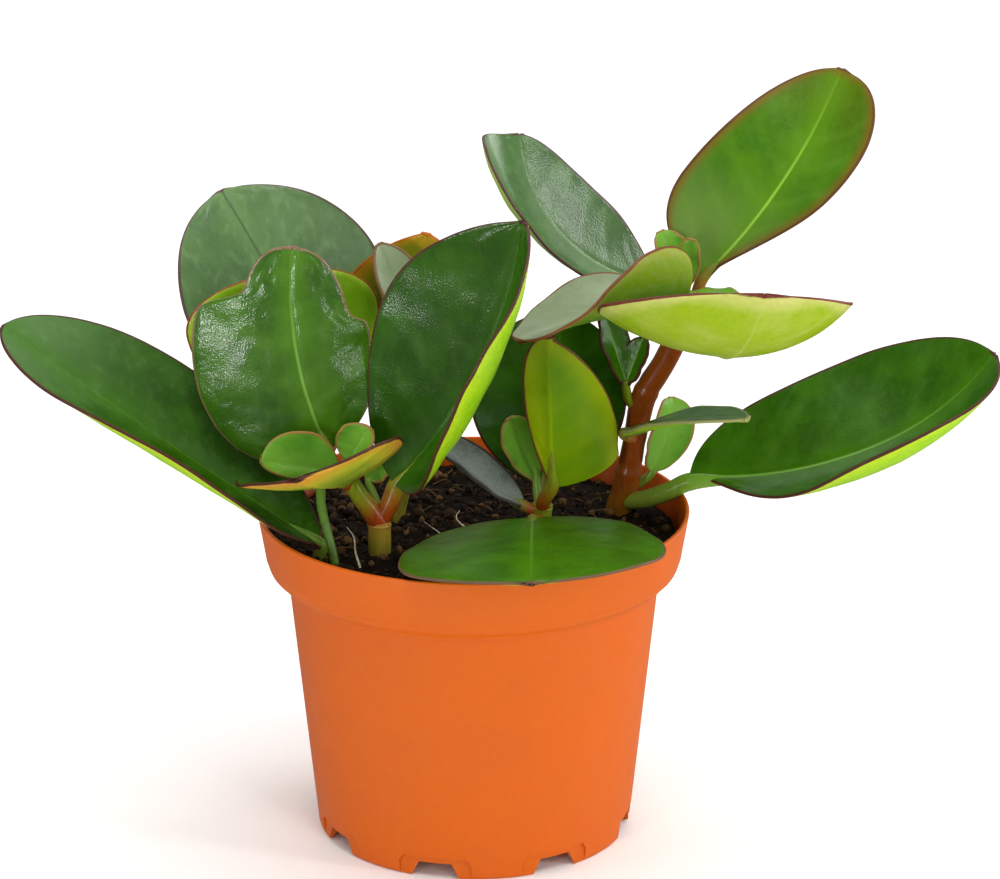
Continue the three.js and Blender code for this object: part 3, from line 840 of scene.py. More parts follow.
class Skin(Enum):
    """The finishes that leaves of this plant show."""

    DEEP = LeafFinish()
    GLOSSY = LeafFinish(upper=(34, 72, 2), upper_light=(52, 100, 4), rib_share=0.08,
                        roughness=0.28, coat=0.5, grain=0.06)
    FAINT = LeafFinish(upper=(48, 92, 2), upper_light=(74, 126, 6), edge=(100, 80, 58), edge_width=0.34,
                       rib_share=0.45, coat=0.14)
    # LONG: its foot colour is painted shade near the stalk, and its grey-green tip colour is painted sheen.
    LONG = LeafFinish(upper=(34, 72, 2), upper_light=(56, 104, 8), foot=(28, 60, 0), tip=(82, 114, 64),
                      rib_share=0.08, streak=0.1, coat=0.12)
    # POLISHED: its lighter tan margin line is partly the margin's own colour and partly a painted highlight
    # along the rim.
    POLISHED = LeafFinish(upper=(40, 82, 2), upper_light=(78, 126, 16), edge=(124, 96, 72),
                          roughness=0.28, coat=0.7, specular=0.12, grain=0.06)
    SHEEN = LeafFinish(upper=(46, 88, 22), upper_light=(80, 122, 48), rib=(142, 172, 110), rib_share=0.4,
                       streak=0.2, roughness=0.42, coat=0.5, specular=0.45)
    DUSKY = LeafFinish(upper=(58, 96, 36), upper_light=(90, 128, 62), rib=(34, 62, 16), rib_share=0.7,
                       rib_end=0.9, streak=0.28, roughness=0.42, coat=0.4, specular=0.45)
    # BRIGHT: its pale foot colour is painted sheen near the stalk; its tip is darker.
    BRIGHT = LeafFinish(upper=(58, 106, 6), upper_light=(90, 140, 14), foot=(112, 138, 70), tip=(74, 96, 2),
                        blush=(120, 86, 30), edge=(96, 62, 30), rib=(160, 208, 70), roughness=0.38, coat=0.3)
    BACKLIT = LeafFinish(upper=(50, 96, 10), upper_light=(96, 130, 30), under=(88, 126, 0),
                         under_warm=(138, 156, 4), under_core=None, warm_width=9.0, edge=(104, 56, 34))
    LIME = LeafFinish(upper=(84, 146, 40), upper_light=(130, 180, 60), under=(140, 182, 54),
                      under_warm=(170, 200, 80), edge=(150, 120, 60), edge_width=0.3)
    OLIVE = LeafFinish(upper=(96, 104, 30), upper_light=(134, 128, 44), under=(122, 126, 24),
                       under_warm=(190, 136, 26), edge=(176, 92, 24))
    SHADED = LeafFinish(under=(120, 164, 20), under_warm=(170, 200, 60), warm_width=3.0, edge=(140, 72, 30))
    BOAT = LeafFinish(under=(176, 176, 44), under_warm=(206, 140, 52), warm_width=8.0)
    # Painted sheen: the grey upper side stands in for a bright reflection on a leaf seen edge-on; its dark
    # specks are its own.
    SILVER_SHEEN = LeafFinish(upper=(66, 72, 68), upper_light=(150, 158, 152), under=(108, 118, 104),
                       under_warm=(132, 140, 122), edge=(60, 56, 54), rib=(150, 156, 150), speck=0.3,
                       roughness=0.45, coat=0.1)
    # Painted sheen: the grey upper side stands in for the reflection on a leaf seen at a grazing angle.
    GRAZING_SHEEN = LeafFinish(upper=(126, 140, 106), upper_light=(156, 168, 136), under=(116, 146, 0),
                       under_warm=(150, 156, 50), warm_width=4.0, edge=(118, 72, 44), rib=(160, 168, 140))
    RIMMED = LeafFinish(upper=(60, 104, 36), upper_light=(96, 140, 66), edge=(150, 150, 96), edge_width=0.7)
    # Painted sheen: the grey-green upper side stands in for a reflection on the folded leaf.
    FOLD_SHEEN = LeafFinish(upper=(128, 142, 112), upper_light=(150, 162, 132), under=(116, 130, 60),
                        edge=(118, 90, 66))
    SPOON = LeafFinish(under=(142, 168, 20), under_warm=(194, 190, 112), under_core=None, warm_width=7.0,
                       edge=(104, 48, 36), edge_width=0.7)


class Stalk(Enum):
    """The finishes that stems and leaf stalks of this plant show."""

    RUSSET = StalkFinish(low=(132, 108, 16), high=(124, 56, 8), streak=(72, 28, 8), turn=0.2)
    OLIVE = StalkFinish(low=(136, 126, 40), high=(160, 104, 34), streak=(96, 80, 26), turn=0.95)
    PALE = StalkFinish(low=(72, 108, 34), high=(98, 136, 46), streak=(52, 78, 28))
    AMBER = StalkFinish(low=(136, 54, 10), high=(116, 132, 26), streak=(88, 34, 10), turn=0.42)
    BLUSH = StalkFinish(low=(156, 66, 32), high=(110, 140, 48), streak=(110, 48, 26))
    GREEN = StalkFinish(low=(120, 136, 44), high=(108, 156, 48), streak=(84, 110, 36))


@dataclass
class Wardrobe:
    """Makes each finish once and keeps it."""

    made: dict[str, bpy.types.Material] = field(default_factory=dict)

    def get(self, choice: Skin | Stalk) -> bpy.types.Material:
        """Gives the material of a finish.

        Args:
            choice: The finish.

        Returns:
            Its material, made on the first call.
        """
        kind = "leaf" if isinstance(choice, Skin) else "stalk"
        name = f"{kind}_{choice.name.lower()}"
        if name not in self.made:
            self.made[name] = choice.value.material(name)
        return self.made[name]


# ---------------------------------------------------------------- leaves
@dataclass(frozen=True)
class Bite:
    """A notch in one margin, past which that half of the blade is narrower.

    Attributes:
        place: Where it is along the blade, from 0 to 1.
        depth: The share of the half's width that is gone past it.
        softness: How gently it sets in, as a share of the blade's length.
    """

    place: float
    depth: float
    softness: float


@dataclass(frozen=True)
class Crease:
    """A crumpled oval spot on a blade.

    Attributes:
        place: Where it is along the blade, from 0 to 1.
        column: Where it is across the blade, from -1 to 1.
        length: Its reach along the blade.
        width: Its reach across the blade.
    """

    place: float
    column: float
    length: float
    width: float

    def strength(self, along: np.ndarray, across: np.ndarray) -> np.ndarray:
        """Gives how crumpled the blade is by this crease.

        Args:
            along: A grid of places along the blade.
            across: A grid of places across it, from -1 to 1.

        Returns:
            A grid of numbers from 0 to 1.
        """
        away = ((along - self.place) / self.length) ** 2 + ((across - self.column) / self.width) ** 2
        return np.exp(-away)


@dataclass(frozen=True)
class Blade:
    """One leaf blade. It grows by the rule that the solids have, from the same sizes.

    Pairs of numbers are for the left half and the right half, seen from above with the tip ahead.
    Angles are in degrees.

    Attributes:
        base: Where the midrib starts.
        tip: Where it ends.
        width: The blade's full width.
        faces: The direction that its upper side looks in.
        arch: How far the midrib turns down along the blade.
        sway: How far it turns left along the blade.
        hook: How far it turns up near the tip.
        cup: How far each half curls up to its margin.
        open: How much of cup and keel is gone at the tip.
        keel: How far both halves rise from the midrib.
        widest: Where each half is widest, from 0 to 1.
        left_round: How square the left half is before and after that place, less being squarer.
        right_round: The same for the right half, where it isn't like the left one.
        skew: The share by which the right half is wider and the left one narrower.
        bites: The notch in each margin.
        vein_depth: How deep the side veins are sunk.
        wave: How high the margins wave.
        pucker: How high the blade is puckered.
        creases: Its crumpled spots.
        seed: The seed of its veins, waves and puckers.
    """

    base: Point
    tip: Point
    width: float
    faces: Point
    arch: float = 0
    sway: float = 0
    hook: float = 0
    cup: tuple[float, float] = (15, 15)
    open: float = 0
    keel: float = 4
    widest: tuple[float, float] = (0.58, 0.58)
    left_round: tuple[float, float] = (0.6, 0.5)
    right_round: tuple[float, float] | None = None
    skew: float = 0
    bites: tuple[Bite | None, Bite | None] = (None, None)
    vein_depth: float = 0.07
    wave: float = 0.3
    pucker: float = 0.1
    creases: tuple[Crease, ...] = ()
    seed: int = 0

    NECK = 2.2
    RIB_STEPS = 60
    HOOK_FROM = 0.55
    HOOK_EASE = 1.5
    FLATTEST = 1e-6

    MIDDLE_THICKNESS = 1.35
    EDGE_THICKNESS = 0.85
    GROOVE_DEPTH = 0.3
    GROOVE_WIDTH = 0.9
    RIDGE_DEPTH = 0.75
    RIDGE_WIDTH = 1.3
    RIDGE_FADE = 0.75
    MARGIN_ANGLES = (45, 90, 135)
    MARGIN_SIDES = (0.8, 0.5, 0.2)

    VEINS = 5
    VEIN_FIRST = 0.05
    VEIN_RANGE = 0.8
    VEIN_SHIFT = 0.02
    VEIN_SWEEP = 0.2
    VEIN_WIDTH = 0.022
    WAVE_SIZES = (1.0, 0.6, 0.4)
    PUCKER_SIZE = 11.0
    PUCKER_LENGTH = 70.0

    def outline(self, along: np.ndarray, side: int) -> np.ndarray:
        """Gives the width of one half at places along the blade.

        Args:
            along: Places from 0 at the base to 1 at the tip.
            side: -1 for the left half, 1 for the right half.

        Returns:
            Shares of half the blade's width.
        """
        half = 1 if side > 0 else 0
        widest, bite = self.widest[half], self.bites[half]
        base_round, tip_round = self.right_round if side > 0 and self.right_round else self.left_round
        away = np.where(along < widest, (widest - along) / widest, (along - widest) / (1 - widest))
        share = np.maximum(1 - away ** 2, 0) ** np.where(along < widest, base_round, tip_round)
        share = np.maximum(share, self.NECK / self.width)
        if bite:
            share = share * (1 - bite.depth / (1 + np.exp((bite.place - along) / bite.softness)))
        return share * (1 + side * self.skew)

    def midrib(self) -> tuple[np.ndarray, np.ndarray, np.ndarray]:
        """Bends the midrib.

        Returns:
            Points along it, directions along it, and the direction that the blade faces.
        """
        base = np.array(self.base, float)
        chord = np.array(self.tip, float) - base
        length = np.linalg.norm(chord)
        ahead = chord / length
        faces = np.array(self.faces, float)
        up = unit(faces - ahead * (faces @ ahead))
        right = np.cross(ahead, up)
        along = (np.arange(self.RIB_STEPS) + 0.5) / self.RIB_STEPS
        hooked = np.maximum((along - self.HOOK_FROM) / (1 - self.HOOK_FROM), 0) ** self.HOOK_EASE
        lift = math.radians(self.arch) * (0.5 - along) + math.radians(self.hook) * hooked
        drift = math.radians(self.sway) * (0.5 - along)
        turns = np.stack([np.cos(lift) * np.cos(drift), np.sin(lift), np.sin(drift)], 1)
        local = np.vstack([np.zeros(3), np.cumsum(turns, 0)])
        level = Vector(unit(local[-1])).rotation_difference(Vector((1, 0, 0))).to_matrix()
        place = np.array(level).T @ np.stack([ahead, up, right])
        points = base + local @ place * (length / np.linalg.norm(local[-1]))
        return points, unit(turns @ place), up

    def bend(self, reach: np.ndarray, along: np.ndarray, side: int) -> tuple[np.ndarray, np.ndarray]:
        """Bends one half of the blade across, by its cup and its keel.

        Args:
            reach: How far from the midrib places are along the skin, as shares of half the width.
            along: How far along the blade they are.
            side: -1 for the left half, 1 for the right half.

        Returns:
            How far out and how far up they come to lie, as shares of half the width.
        """
        closed = 1 - self.open * along
        curl = math.radians(self.cup[1 if side > 0 else 0]) * closed
        curl = np.where(np.abs(curl) > self.FLATTEST, curl, self.FLATTEST)
        out = np.sin(curl * reach) / curl
        rise = (1 - np.cos(curl * reach)) / curl
        keel = math.radians(self.keel) * closed
        return out * np.cos(keel) - rise * np.sin(keel), out * np.sin(keel) + rise * np.cos(keel)

    def veins(self, along: np.ndarray, across: np.ndarray, draw: random.Random) -> np.ndarray:
        """Draws the side veins, which sweep to the tip as they leave the midrib.

        Args:
            along: A grid of places along the blade.
            across: A grid of places across it, from -1 to 1.
            draw: The random source.

        Returns:
            How much of a vein each place is, from 0 to 1.
        """
        share = np.abs(across)
        vein = np.zeros_like(share)
        for number in range(self.VEINS):
            start = self.VEIN_FIRST + self.VEIN_RANGE * number / self.VEINS + draw.uniform(-0.015, 0.015)
            for side in (-1, 1):
                middle = start + (self.VEIN_SHIFT if side > 0 else 0) + self.VEIN_SWEEP * share ** 1.5
                line = np.exp(-(((along - middle) / self.VEIN_WIDTH) ** 2))
                vein += np.where(np.sign(across) == side, line, 0)
        vein *= smooth_step(0, 0.12, share) * (1 - smooth_step(0.75, 1.0, share))
        return np.clip(vein, 0, 1)

    def waves(self, along: np.ndarray, across: np.ndarray, draw: random.Random) -> np.ndarray:
        """Lays soft waves over the blade, which grow to the margins.

        Args:
            along: A grid of places along the blade.
            across: A grid of places across it, from -1 to 1.
            draw: The random source.

        Returns:
            Their heights in millimetres.
        """
        waves = np.zeros_like(across)
        for size in self.WAVE_SIZES:
            turn, phase = draw.uniform(2.5, 4.5) / size, draw.uniform(0, ANY_TURN)
            slant = draw.uniform(-1.5, 1.5) / size
            waves += size * np.sin(turn * math.pi * along + slant * across + phase)
        return self.wave * waves * (0.15 + across ** 2) * 0.6

    def puckers(self, along: np.ndarray, across: np.ndarray) -> np.ndarray:
        """Puckers the blade a little all over.

        Args:
            along: A grid of places along the blade.
            across: A grid of places across it, from -1 to 1.

        Returns:
            Heights in millimetres.
        """
        spots = np.stack([along * self.PUCKER_LENGTH, across * self.width / 2], -1) / self.PUCKER_SIZE
        dents = [noise.fractal(Vector((x, y, self.seed * 5.3)), 0.8, 2.2, 3) for x, y in spots.reshape(-1, 2)]
        return self.pucker * np.array(dents).reshape(across.shape)

    def surface(self, rows: int, columns: int) -> tuple[np.ndarray, dict[str, np.ndarray]]:
        """Lays out the blade's middle surface.

        Args:
            rows: Steps from base to tip.
            columns: Steps from the left margin to the right one.

        Returns:
            A grid of points in millimetres, and grids of the numbers that the finish reads.
        """
        points, directions, face_up = self.midrib()
        along = np.sin(math.pi * (np.linspace(0, 1, rows + 1) - 0.5)) * 0.5 + 0.5
        across = np.linspace(-1, 1, columns + 1)
        middle = read_between(points, along)
        ahead = unit(read_between(directions, along))
        up = unit(face_up - ahead * (ahead @ face_up)[:, None])
        right = np.cross(ahead, up)
        half = self.width / 2
        grid = np.zeros((rows + 1, columns + 1, 3))
        reach = np.zeros((rows + 1, columns + 1))
        rim = np.zeros((rows + 1, columns + 1))
        length = float(np.linalg.norm(np.diff(points, axis=0), axis=1).sum())
        for column, place in enumerate(across):
            side = 1 if place > 0 else -1
            width = self.outline(along, side)
            out, rise = self.bend(abs(place) * width, along, side)
            grid[:, column] = middle + right * (side * half * out)[:, None] + up * (half * rise)[:, None]
            reach[:, column] = abs(place) * width * half
            rim[:, column] = np.minimum(width * half - reach[:, column], (1 - along) * length)
        rows_along, columns_across = np.meshgrid(along, across, indexing="ij")
        draw = random.Random(self.seed)
        vein = self.veins(rows_along, columns_across, draw)
        height = self.waves(rows_along, columns_across, draw) - self.vein_depth * vein
        height = height + self.puckers(rows_along, columns_across)
        grid += grid_normals(grid) * (height * smooth_step(0, 0.12, rows_along))[..., None]
        creased = [crease.strength(rows_along, columns_across) for crease in self.creases]
        crease = np.max(creased, axis=0) if creased else np.zeros_like(reach)
        return grid, {"rib": reach, "rim": rim, "vein": vein, "crease": crease, "along": rows_along}

    def skins(self, grid: np.ndarray, values: dict[str, np.ndarray]) -> tuple[np.ndarray, np.ndarray]:
        """Sets the upper and the under skin off from the middle surface.

        Args:
            grid: The middle surface.
            values: The numbers that belong to it.

        Returns:
            The upper skin with a groove along the midrib, and the under skin with a ridge.
        """
        normals = grid_normals(grid)
        share = np.abs(np.linspace(-1, 1, grid.shape[1]))
        thickness = self.MIDDLE_THICKNESS + (self.EDGE_THICKNESS - self.MIDDLE_THICKNESS) * share ** 2
        fade = 1 - self.RIDGE_FADE * values["along"]
        groove = self.GROOVE_DEPTH * np.exp(-((values["rib"] / self.GROOVE_WIDTH) ** 2)) * fade
        ridge = self.RIDGE_DEPTH * np.exp(-((values["rib"] / self.RIDGE_WIDTH) ** 2)) * fade
        upper = grid + normals * (thickness / 2 - groove)[..., None]
        under = grid - normals * (thickness / 2 + ridge)[..., None]
        return upper, under

    def margin(self, grid: np.ndarray, column: int, inner: int) -> np.ndarray:
        """Rounds one margin.

        Args:
            grid: The middle surface.
            column: The column that is the margin.
            inner: The column beside it.

        Returns:
            A few points per row, from the upper skin round to the under one.
        """
        up = grid_normals(grid)[:, column]
        outward = unit(grid[:, column] - grid[:, inner])
        bends = [math.radians(angle) for angle in self.MARGIN_ANGLES]
        return np.stack([grid[:, column] + (up * math.cos(bend) + outward * math.sin(bend))
                         * self.EDGE_THICKNESS / 2 for bend in bends], 1)

    def end(self, grid: np.ndarray, row: int, inner: int) -> np.ndarray:
        """Draws the section together past the base or the tip.

        Args:
            grid: The middle surface.
            row: The row that is the end.
            inner: The row beside it.

        Returns:
            One more ring of the section.
        """
        line = grid[row] + unit(grid[row] - grid[inner]) * self.EDGE_THICKNESS / 2
        turns = len(self.MARGIN_ANGLES)
        return np.concatenate([line, [line[-1]] * turns, line[::-1], [line[0]] * turns])[None]

    def around(self, values: np.ndarray, margin: float) -> np.ndarray:
        """Runs a grid of numbers round the closed section.

        Args:
            values: One number for each point of the middle surface.
            margin: The number for the round margins.

        Returns:
            One number for each corner of the shell.
        """
        edge = np.full((len(values), len(self.MARGIN_ANGLES)), margin)
        whole = np.concatenate([values, edge, values[:, ::-1], edge], 1)
        return np.concatenate([whole[:1], whole, whole[-1:]]).ravel()

    def add_to(self, shells: Shells, rows: int, columns: int) -> None:
        """Adds the blade as one closed shell with round margins.

        Args:
            shells: Where it is collected.
            rows: Steps from base to tip.
            columns: Steps from margin to margin.
        """
        grid, values = self.surface(rows, columns)
        upper, under = self.skins(grid, values)
        right, left = self.margin(grid, -1, -2), self.margin(grid, 0, 1)
        section = np.concatenate([upper, right, under[:, ::-1], left[:, ::-1]], 1)
        section = np.concatenate([self.end(grid, 0, 1), section, self.end(grid, -1, -2)])
        sides = np.concatenate([np.ones(columns + 1), self.MARGIN_SIDES,
                                np.zeros(columns + 1), self.MARGIN_SIDES[::-1]])
        margins = {"rib": self.width, "rim": 0.0, "vein": 0.0, "crease": 0.0, "along": 0.5}
        shells.add(section.reshape(-1, 3), ring_faces(*section.shape[:2], turned=True),
                   side=np.tile(sides, len(section)),
                   **{name: self.around(values[name], margin) for name, margin in margins.items()})


def grid_normals(grid: np.ndarray) -> np.ndarray:
    """Gives the direction that the upper side looks in at each point of a grid.

    Args:
        grid: Points, rows from base to tip and columns from left to right.

    Returns:
        Unit vectors.
    """
    ahead = np.gradient(grid, axis=0)
    right = np.gradient(grid, axis=1)
    return unit(np.cross(right, ahead))


@dataclass(frozen=True)
class Leaf:
    """A blade on its stalk.

    Attributes:
        name: The solid that it stands for.
        petiole: Places that the stalk passes, from the stem to the blade.
        blade: Its blade.
        skin: The blade's finish.
        stalk_finish: The stalk's finish.
        stalk: The stalk's radius.
        young: Whether it is one of the small pale leaves.
    """

    name: str
    petiole: tuple[Point, ...]
    blade: Blade
    skin: Skin = Skin.DEEP
    stalk_finish: Stalk = Stalk.BLUSH
    stalk: float = 1.7
    young: bool = False

    GRID = (72, 44)
    YOUNG_GRID = (36, 20)
    RIB_UNDER_BLADE = ((0.12, 0.45), (0.32, 0.2))
    RIB_START = 0.6
    RIB_END_RADIUS = 0.5
    STALK_STEPS = 40
    STALK_SIDES = 18
    STALK_LUMPS = 0.05

    def path(self) -> np.ndarray:
        """Runs the stalk from the stem to the blade and on below its midrib.

        Returns:
            Points along its middle.
        """
        points, _, up = self.blade.midrib()
        below = [tuple(points[round(share * (len(points) - 1))] - up * depth * self.stalk)
                 for share, depth in self.RIB_UNDER_BLADE]
        return curve_through([*self.petiole, *below], self.STALK_STEPS)

    def build(self, wardrobe: Wardrobe) -> bpy.types.Object:
        """Makes the leaf and lets it stand for its solid.

        Args:
            wardrobe: Gives the finishes.

        Returns:
            The new piece.
        """
        shells = Shells()
        self.blade.add_to(shells, *(self.YOUNG_GRID if self.young else self.GRID))
        path = self.path()
        knots = [self.stalk] * len(self.petiole) + [self.stalk * self.RIB_START, self.RIB_END_RADIUS]
        shells.tube(path, spread(knots, len(path)), self.STALK_SIDES, slot=1,
                    lumps=self.STALK_LUMPS, seed=self.blade.seed)
        piece = shells.piece(self.name.replace("leaf", "blade"),
                             [wardrobe.get(self.skin), wardrobe.get(self.stalk_finish)])
        mend(piece)
        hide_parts(self.name)
        return piece


@dataclass(frozen=True)
class ShootTip:
    """A bud with the young leaves that are grown together with it.

    Attributes:
        name: The solid that it stands for.
        core: Places that its short stalk passes.
        radii: The stalk's radii, at even steps.
        blades: Its young leaves.
        skin: Their finish.
        stalk_finish: The stalk's finish.
    """

    name: str
    core: tuple[Point, ...]
    radii: tuple[float, ...]
    blades: tuple[Blade, ...]
    skin: Skin = Skin.LIME
    stalk_finish: Stalk = Stalk.GREEN

    GRID = (32, 20)
    STALK_STEPS = 24
    STALK_SIDES = 16
    STALK_LUMPS = 0.15

    def build(self, wardrobe: Wardrobe) -> bpy.types.Object:
        """Makes the shoot tip and lets it stand for its solid.

        Args:
            wardrobe: Gives the finishes.

        Returns:
            The new piece.
        """
        shells = Shells()
        for blade in self.blades:
            blade.add_to(shells, *self.GRID)
        path = curve_through(list(self.core), self.STALK_STEPS)
        shells.tube(path, spread(self.radii, len(path)), self.STALK_SIDES, slot=1, lumps=self.STALK_LUMPS)
        piece = shells.piece(f"young_{self.name}", [wardrobe.get(self.skin), wardrobe.get(self.stalk_finish)])
        mend(piece)
        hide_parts(self.name)
        return piece


@dataclass(frozen=True)
class Branch:
    """One unforked run of a stem.

    Attributes:
        path: Places that it passes, from below.
        radii: Its radii, at even steps.
    """

    path: tuple[Point, ...]
    radii: tuple[float, ...]


@dataclass(frozen=True)
class Stem:
    """A fleshy stem with swollen rings where leaves grow or have dropped.

    Attributes:
        name: The solid that it stands for.
        branches: Its main run, and a side run where it forks.
        finish: The main run's finish.
        branch_finish: The side run's, where it has another.
        rings: Where the main run is swollen, from 0 to 1.
        seed: Where in the noise its lumps are read.
    """

    name: str
    branches: tuple[Branch, ...]
    finish: Stalk
    branch_finish: Stalk | None = None
    rings: tuple[float, ...] = ()
    seed: int = 0

    RING_HEIGHT = 0.22
    RING_LENGTH = 0.012
    WAIST_DEPTH = 0.1
    WAIST_PLACE = 0.025
    ROUND_END = (0.9, 0.7, 0.35)
    STEPS = 96
    SIDES = 28
    LUMPS = 0.06

    def thickness(self, branch: Branch, rings: tuple[float, ...], count: int) -> np.ndarray:
        """Gives the radius along one run.

        Args:
            branch: The run.
            rings: Where it is swollen.
            count: At how many places the radius is read.

        Returns:
            The radii, with a swelling and a waist at each ring and a round upper end.
        """
        places = np.linspace(0, 1, count)
        thick = spread(branch.radii, count)
        for ring in rings:
            thick = thick + self.RING_HEIGHT * np.exp(-(((places - ring) / self.RING_LENGTH) ** 2))
            waist = (places - ring - self.WAIST_PLACE) / self.RING_LENGTH
            thick = thick - self.WAIST_DEPTH * np.exp(-(waist ** 2))
        thick[-len(self.ROUND_END):] *= self.ROUND_END
        return thick

    def build(self, wardrobe: Wardrobe) -> bpy.types.Object:
        """Makes the stem and lets it stand for its solid.

        Args:
            wardrobe: Gives the finishes.

        Returns:
            The new piece.
        """
        shells = Shells()
        for number, branch in enumerate(self.branches):
            path = curve_through(list(branch.path), self.STEPS)
            thick = self.thickness(branch, () if number else self.rings, len(path))
            shells.tube(path, thick, self.SIDES, slot=number, lumps=self.LUMPS, seed=self.seed + number)
        finishes = [wardrobe.get(self.finish), wardrobe.get(self.branch_finish or self.finish)]
        piece = shells.piece(f"{self.name}_skin", finishes)
        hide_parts(self.name)
        return piece


# ---------------------------------------------------------------- pot and soil
@dataclass(frozen=True)
class Pot:
    """The thin-walled plastic pot with its rim band and its notched foot."""

    height: float = 94.5
    rim_radius: float = 60.6
    wall: float = 1.1
    lip_round: float = 0.5
    inner_lip_round: float = 0.3
    band_height: float = 12.5
    band_foot_radius: float = 58.6
    band_step: float = 2.5
    slant: float = 0.7
    shoulder_height: float = 18.3
    shoulder_inset: float = 2.7
    inner_shoulder: tuple[float, float] = (0.8, 0.4)
    body_top_radius: float = 55.1
    foot_radius: float = 44.8
    foot_round: tuple[float, float] = (1.2, 2.0)
    foot_wall: float = 1.6
    floor_top: float = 4.6
    floor_under: float = 3.0
    floor_bevel: float = 1.0
    boss_radius: float = 14.0
    notches: int = 8
    first_notch: float = -14.0
    notch_top: float = 9.4
    notch_bottom: float = 14.0
    notch_height: float = 4.6
    recess_width: float = 21.0
    recess_height: float = 6.4
    recess_depth: float = 0.4
    recess_round: float = 2.0
    drain_radius: float = 3.5
    drain_ring: float = 30.0
    # how far below the rim the painted shade inside the band reaches full strength, in millimetres
    shade_depth: float = 9.0

    SIDES = 192
    DRAIN_SIDES = 32
    RECESS_STEPS = 14
    CUT_BELOW = -1
    RECESS_REACH = 3
    NOTCH_REACH = (-4, 2)
    DRAIN_CUT = 30
    SHARP_ANGLE = 32

    def profile(self) -> list[tuple[float, float]]:
        """Lists the corners of half the pot's section.

        Returns:
            Radius and height of each, from the axis out, over the rim and back to the axis.
        """
        rim, wall, foot, bevel = self.rim_radius, self.wall, self.foot_radius, self.floor_bevel
        band_foot = self.height - self.band_height
        body_top = self.height - self.shoulder_height
        below_shoulder = (self.body_top_radius - self.shoulder_inset, body_top - self.slant)
        shoulder = (self.body_top_radius, body_top)
        step = (self.band_foot_radius - self.slant, band_foot - self.band_step)
        band = (self.band_foot_radius, band_foot)
        across, tall = self.foot_round
        lip, inner_lip = self.lip_round, self.inner_lip_round
        outside = [
            (0, 0), (self.boss_radius, 0), (self.boss_radius + bevel, self.floor_under),
            (foot - self.foot_wall - bevel, self.floor_under), (foot - self.foot_wall, 0),
            *arc(foot - across, tall, across, tall, -90, 0),
            below_shoulder, *sweep(below_shoulder, shoulder), *sweep(shoulder, step), *sweep(step, band),
            *arc(rim - lip, self.height - lip, lip, lip, 0, 90),
        ]
        inside = [
            *arc(rim - wall + inner_lip, self.height - inner_lip, inner_lip, inner_lip, 90, 180),
            (band[0] - wall, band_foot), (band[0] - wall - bevel, band_foot - self.band_step),
            (shoulder[0] - wall - self.inner_shoulder[0], body_top - self.inner_shoulder[1]),
            (below_shoulder[0] - wall, body_top - 2 * self.slant),
            (foot - wall, self.floor_top + bevel), (foot - wall - bevel, self.floor_top), (0, self.floor_top),
        ]
        return outside + inside

    def lathe(self) -> bpy.types.Object:
        """Turns the section round the pot's axis.

        Returns:
            The pot before its foot is cut.
        """
        outline = self.profile()
        form = bmesh.new()
        corners = [form.verts.new((radius * MM, 0, z * MM)) for radius, z in outline]
        edges = [form.edges.new(pair) for pair in zip(corners[:-1], corners[1:])]
        bmesh.ops.spin(form, geom=corners + edges, cent=(0, 0, 0), axis=(0, 0, 1),
                       angle=2 * math.pi, steps=self.SIDES, use_duplicate=False)
        bmesh.ops.remove_doubles(form, verts=form.verts, dist=SEAM_DISTANCE)
        return finish_form(form, "nursery_pot")

    def cutters(self) -> list[bpy.types.Object]:
        """Makes the bodies that cut the foot: recesses, notches and drain holes.

        Returns:
            Three objects, one for each kind.
        """
        forms = [bmesh.new() for _ in range(3)]
        for number in range(self.notches):
            angle = math.radians(self.first_notch - 90 + number * 360 / self.notches)
            self.add_recess(forms[0], angle)
            self.add_notch(forms[1], angle)
            self.add_drain(forms[2], angle)
        return [finish_form(form, name) for form, name in zip(forms, ("recesses", "gaps", "drains"))]

    def add_recess(self, form: bmesh.types.BMesh, angle: float) -> None:
        """Adds the cutter of one shallow recess, which follows the round wall.

        Args:
            form: Where it is added.
            angle: Where round the pot it is, in radians.
        """
        half = self.recess_width / 2 / self.foot_radius
        inner = self.foot_radius - self.recess_depth
        outer = self.foot_radius + self.RECESS_REACH
        rounding = self.recess_round
        rings = []
        for step in range(self.RECESS_STEPS + 1):
            turn = -half + 2 * half * step / self.RECESS_STEPS
            near_end = max(0.0, rounding - (half - abs(turn)) * self.foot_radius)
            top = self.recess_height - rounding + math.sqrt(max(rounding ** 2 - near_end ** 2, 0))
            section = [(inner, self.CUT_BELOW), (outer, self.CUT_BELOW), (outer, top), (inner, top)]
            rings.append([(radius * math.cos(angle + turn), radius * math.sin(angle + turn), z)
                          for radius, z in section])
        add_rings(form, rings)

    def add_notch(self, form: bmesh.types.BMesh, angle: float) -> None:
        """Adds the cutter of one notch with slanted sides.

        Args:
            form: Where it is added.
            angle: Where round the pot it is, in radians.
        """
        slant = (self.notch_bottom - self.notch_top) / self.notch_height
        low, high = (self.notch_bottom + slant) / 2, self.notch_top / 2
        section = [(-high, self.notch_height), (-low, self.CUT_BELOW), (low, self.CUT_BELOW),
                   (high, self.notch_height)]
        ahead = Vector((math.cos(angle), math.sin(angle), 0))
        aside = Vector((-math.sin(angle), math.cos(angle), 0))
        add_rings(form, [[ahead * (self.foot_radius + reach) + aside * offset + Vector((0, 0, z))
                          for offset, z in section] for reach in self.NOTCH_REACH])

    def add_drain(self, form: bmesh.types.BMesh, angle: float) -> None:
        """Adds the cutter of one drain hole.

        Args:
            form: Where it is added.
            angle: Where round the pot it is, in radians.
        """
        radius = self.drain_radius * MM
        drain = bmesh.ops.create_cone(form, cap_ends=True, segments=self.DRAIN_SIDES, radius1=radius,
                                      radius2=radius, depth=self.DRAIN_CUT * MM)
        middle = Vector((math.cos(angle), math.sin(angle), 0)) * self.drain_ring * MM
        bmesh.ops.translate(form, verts=drain["verts"], vec=middle)

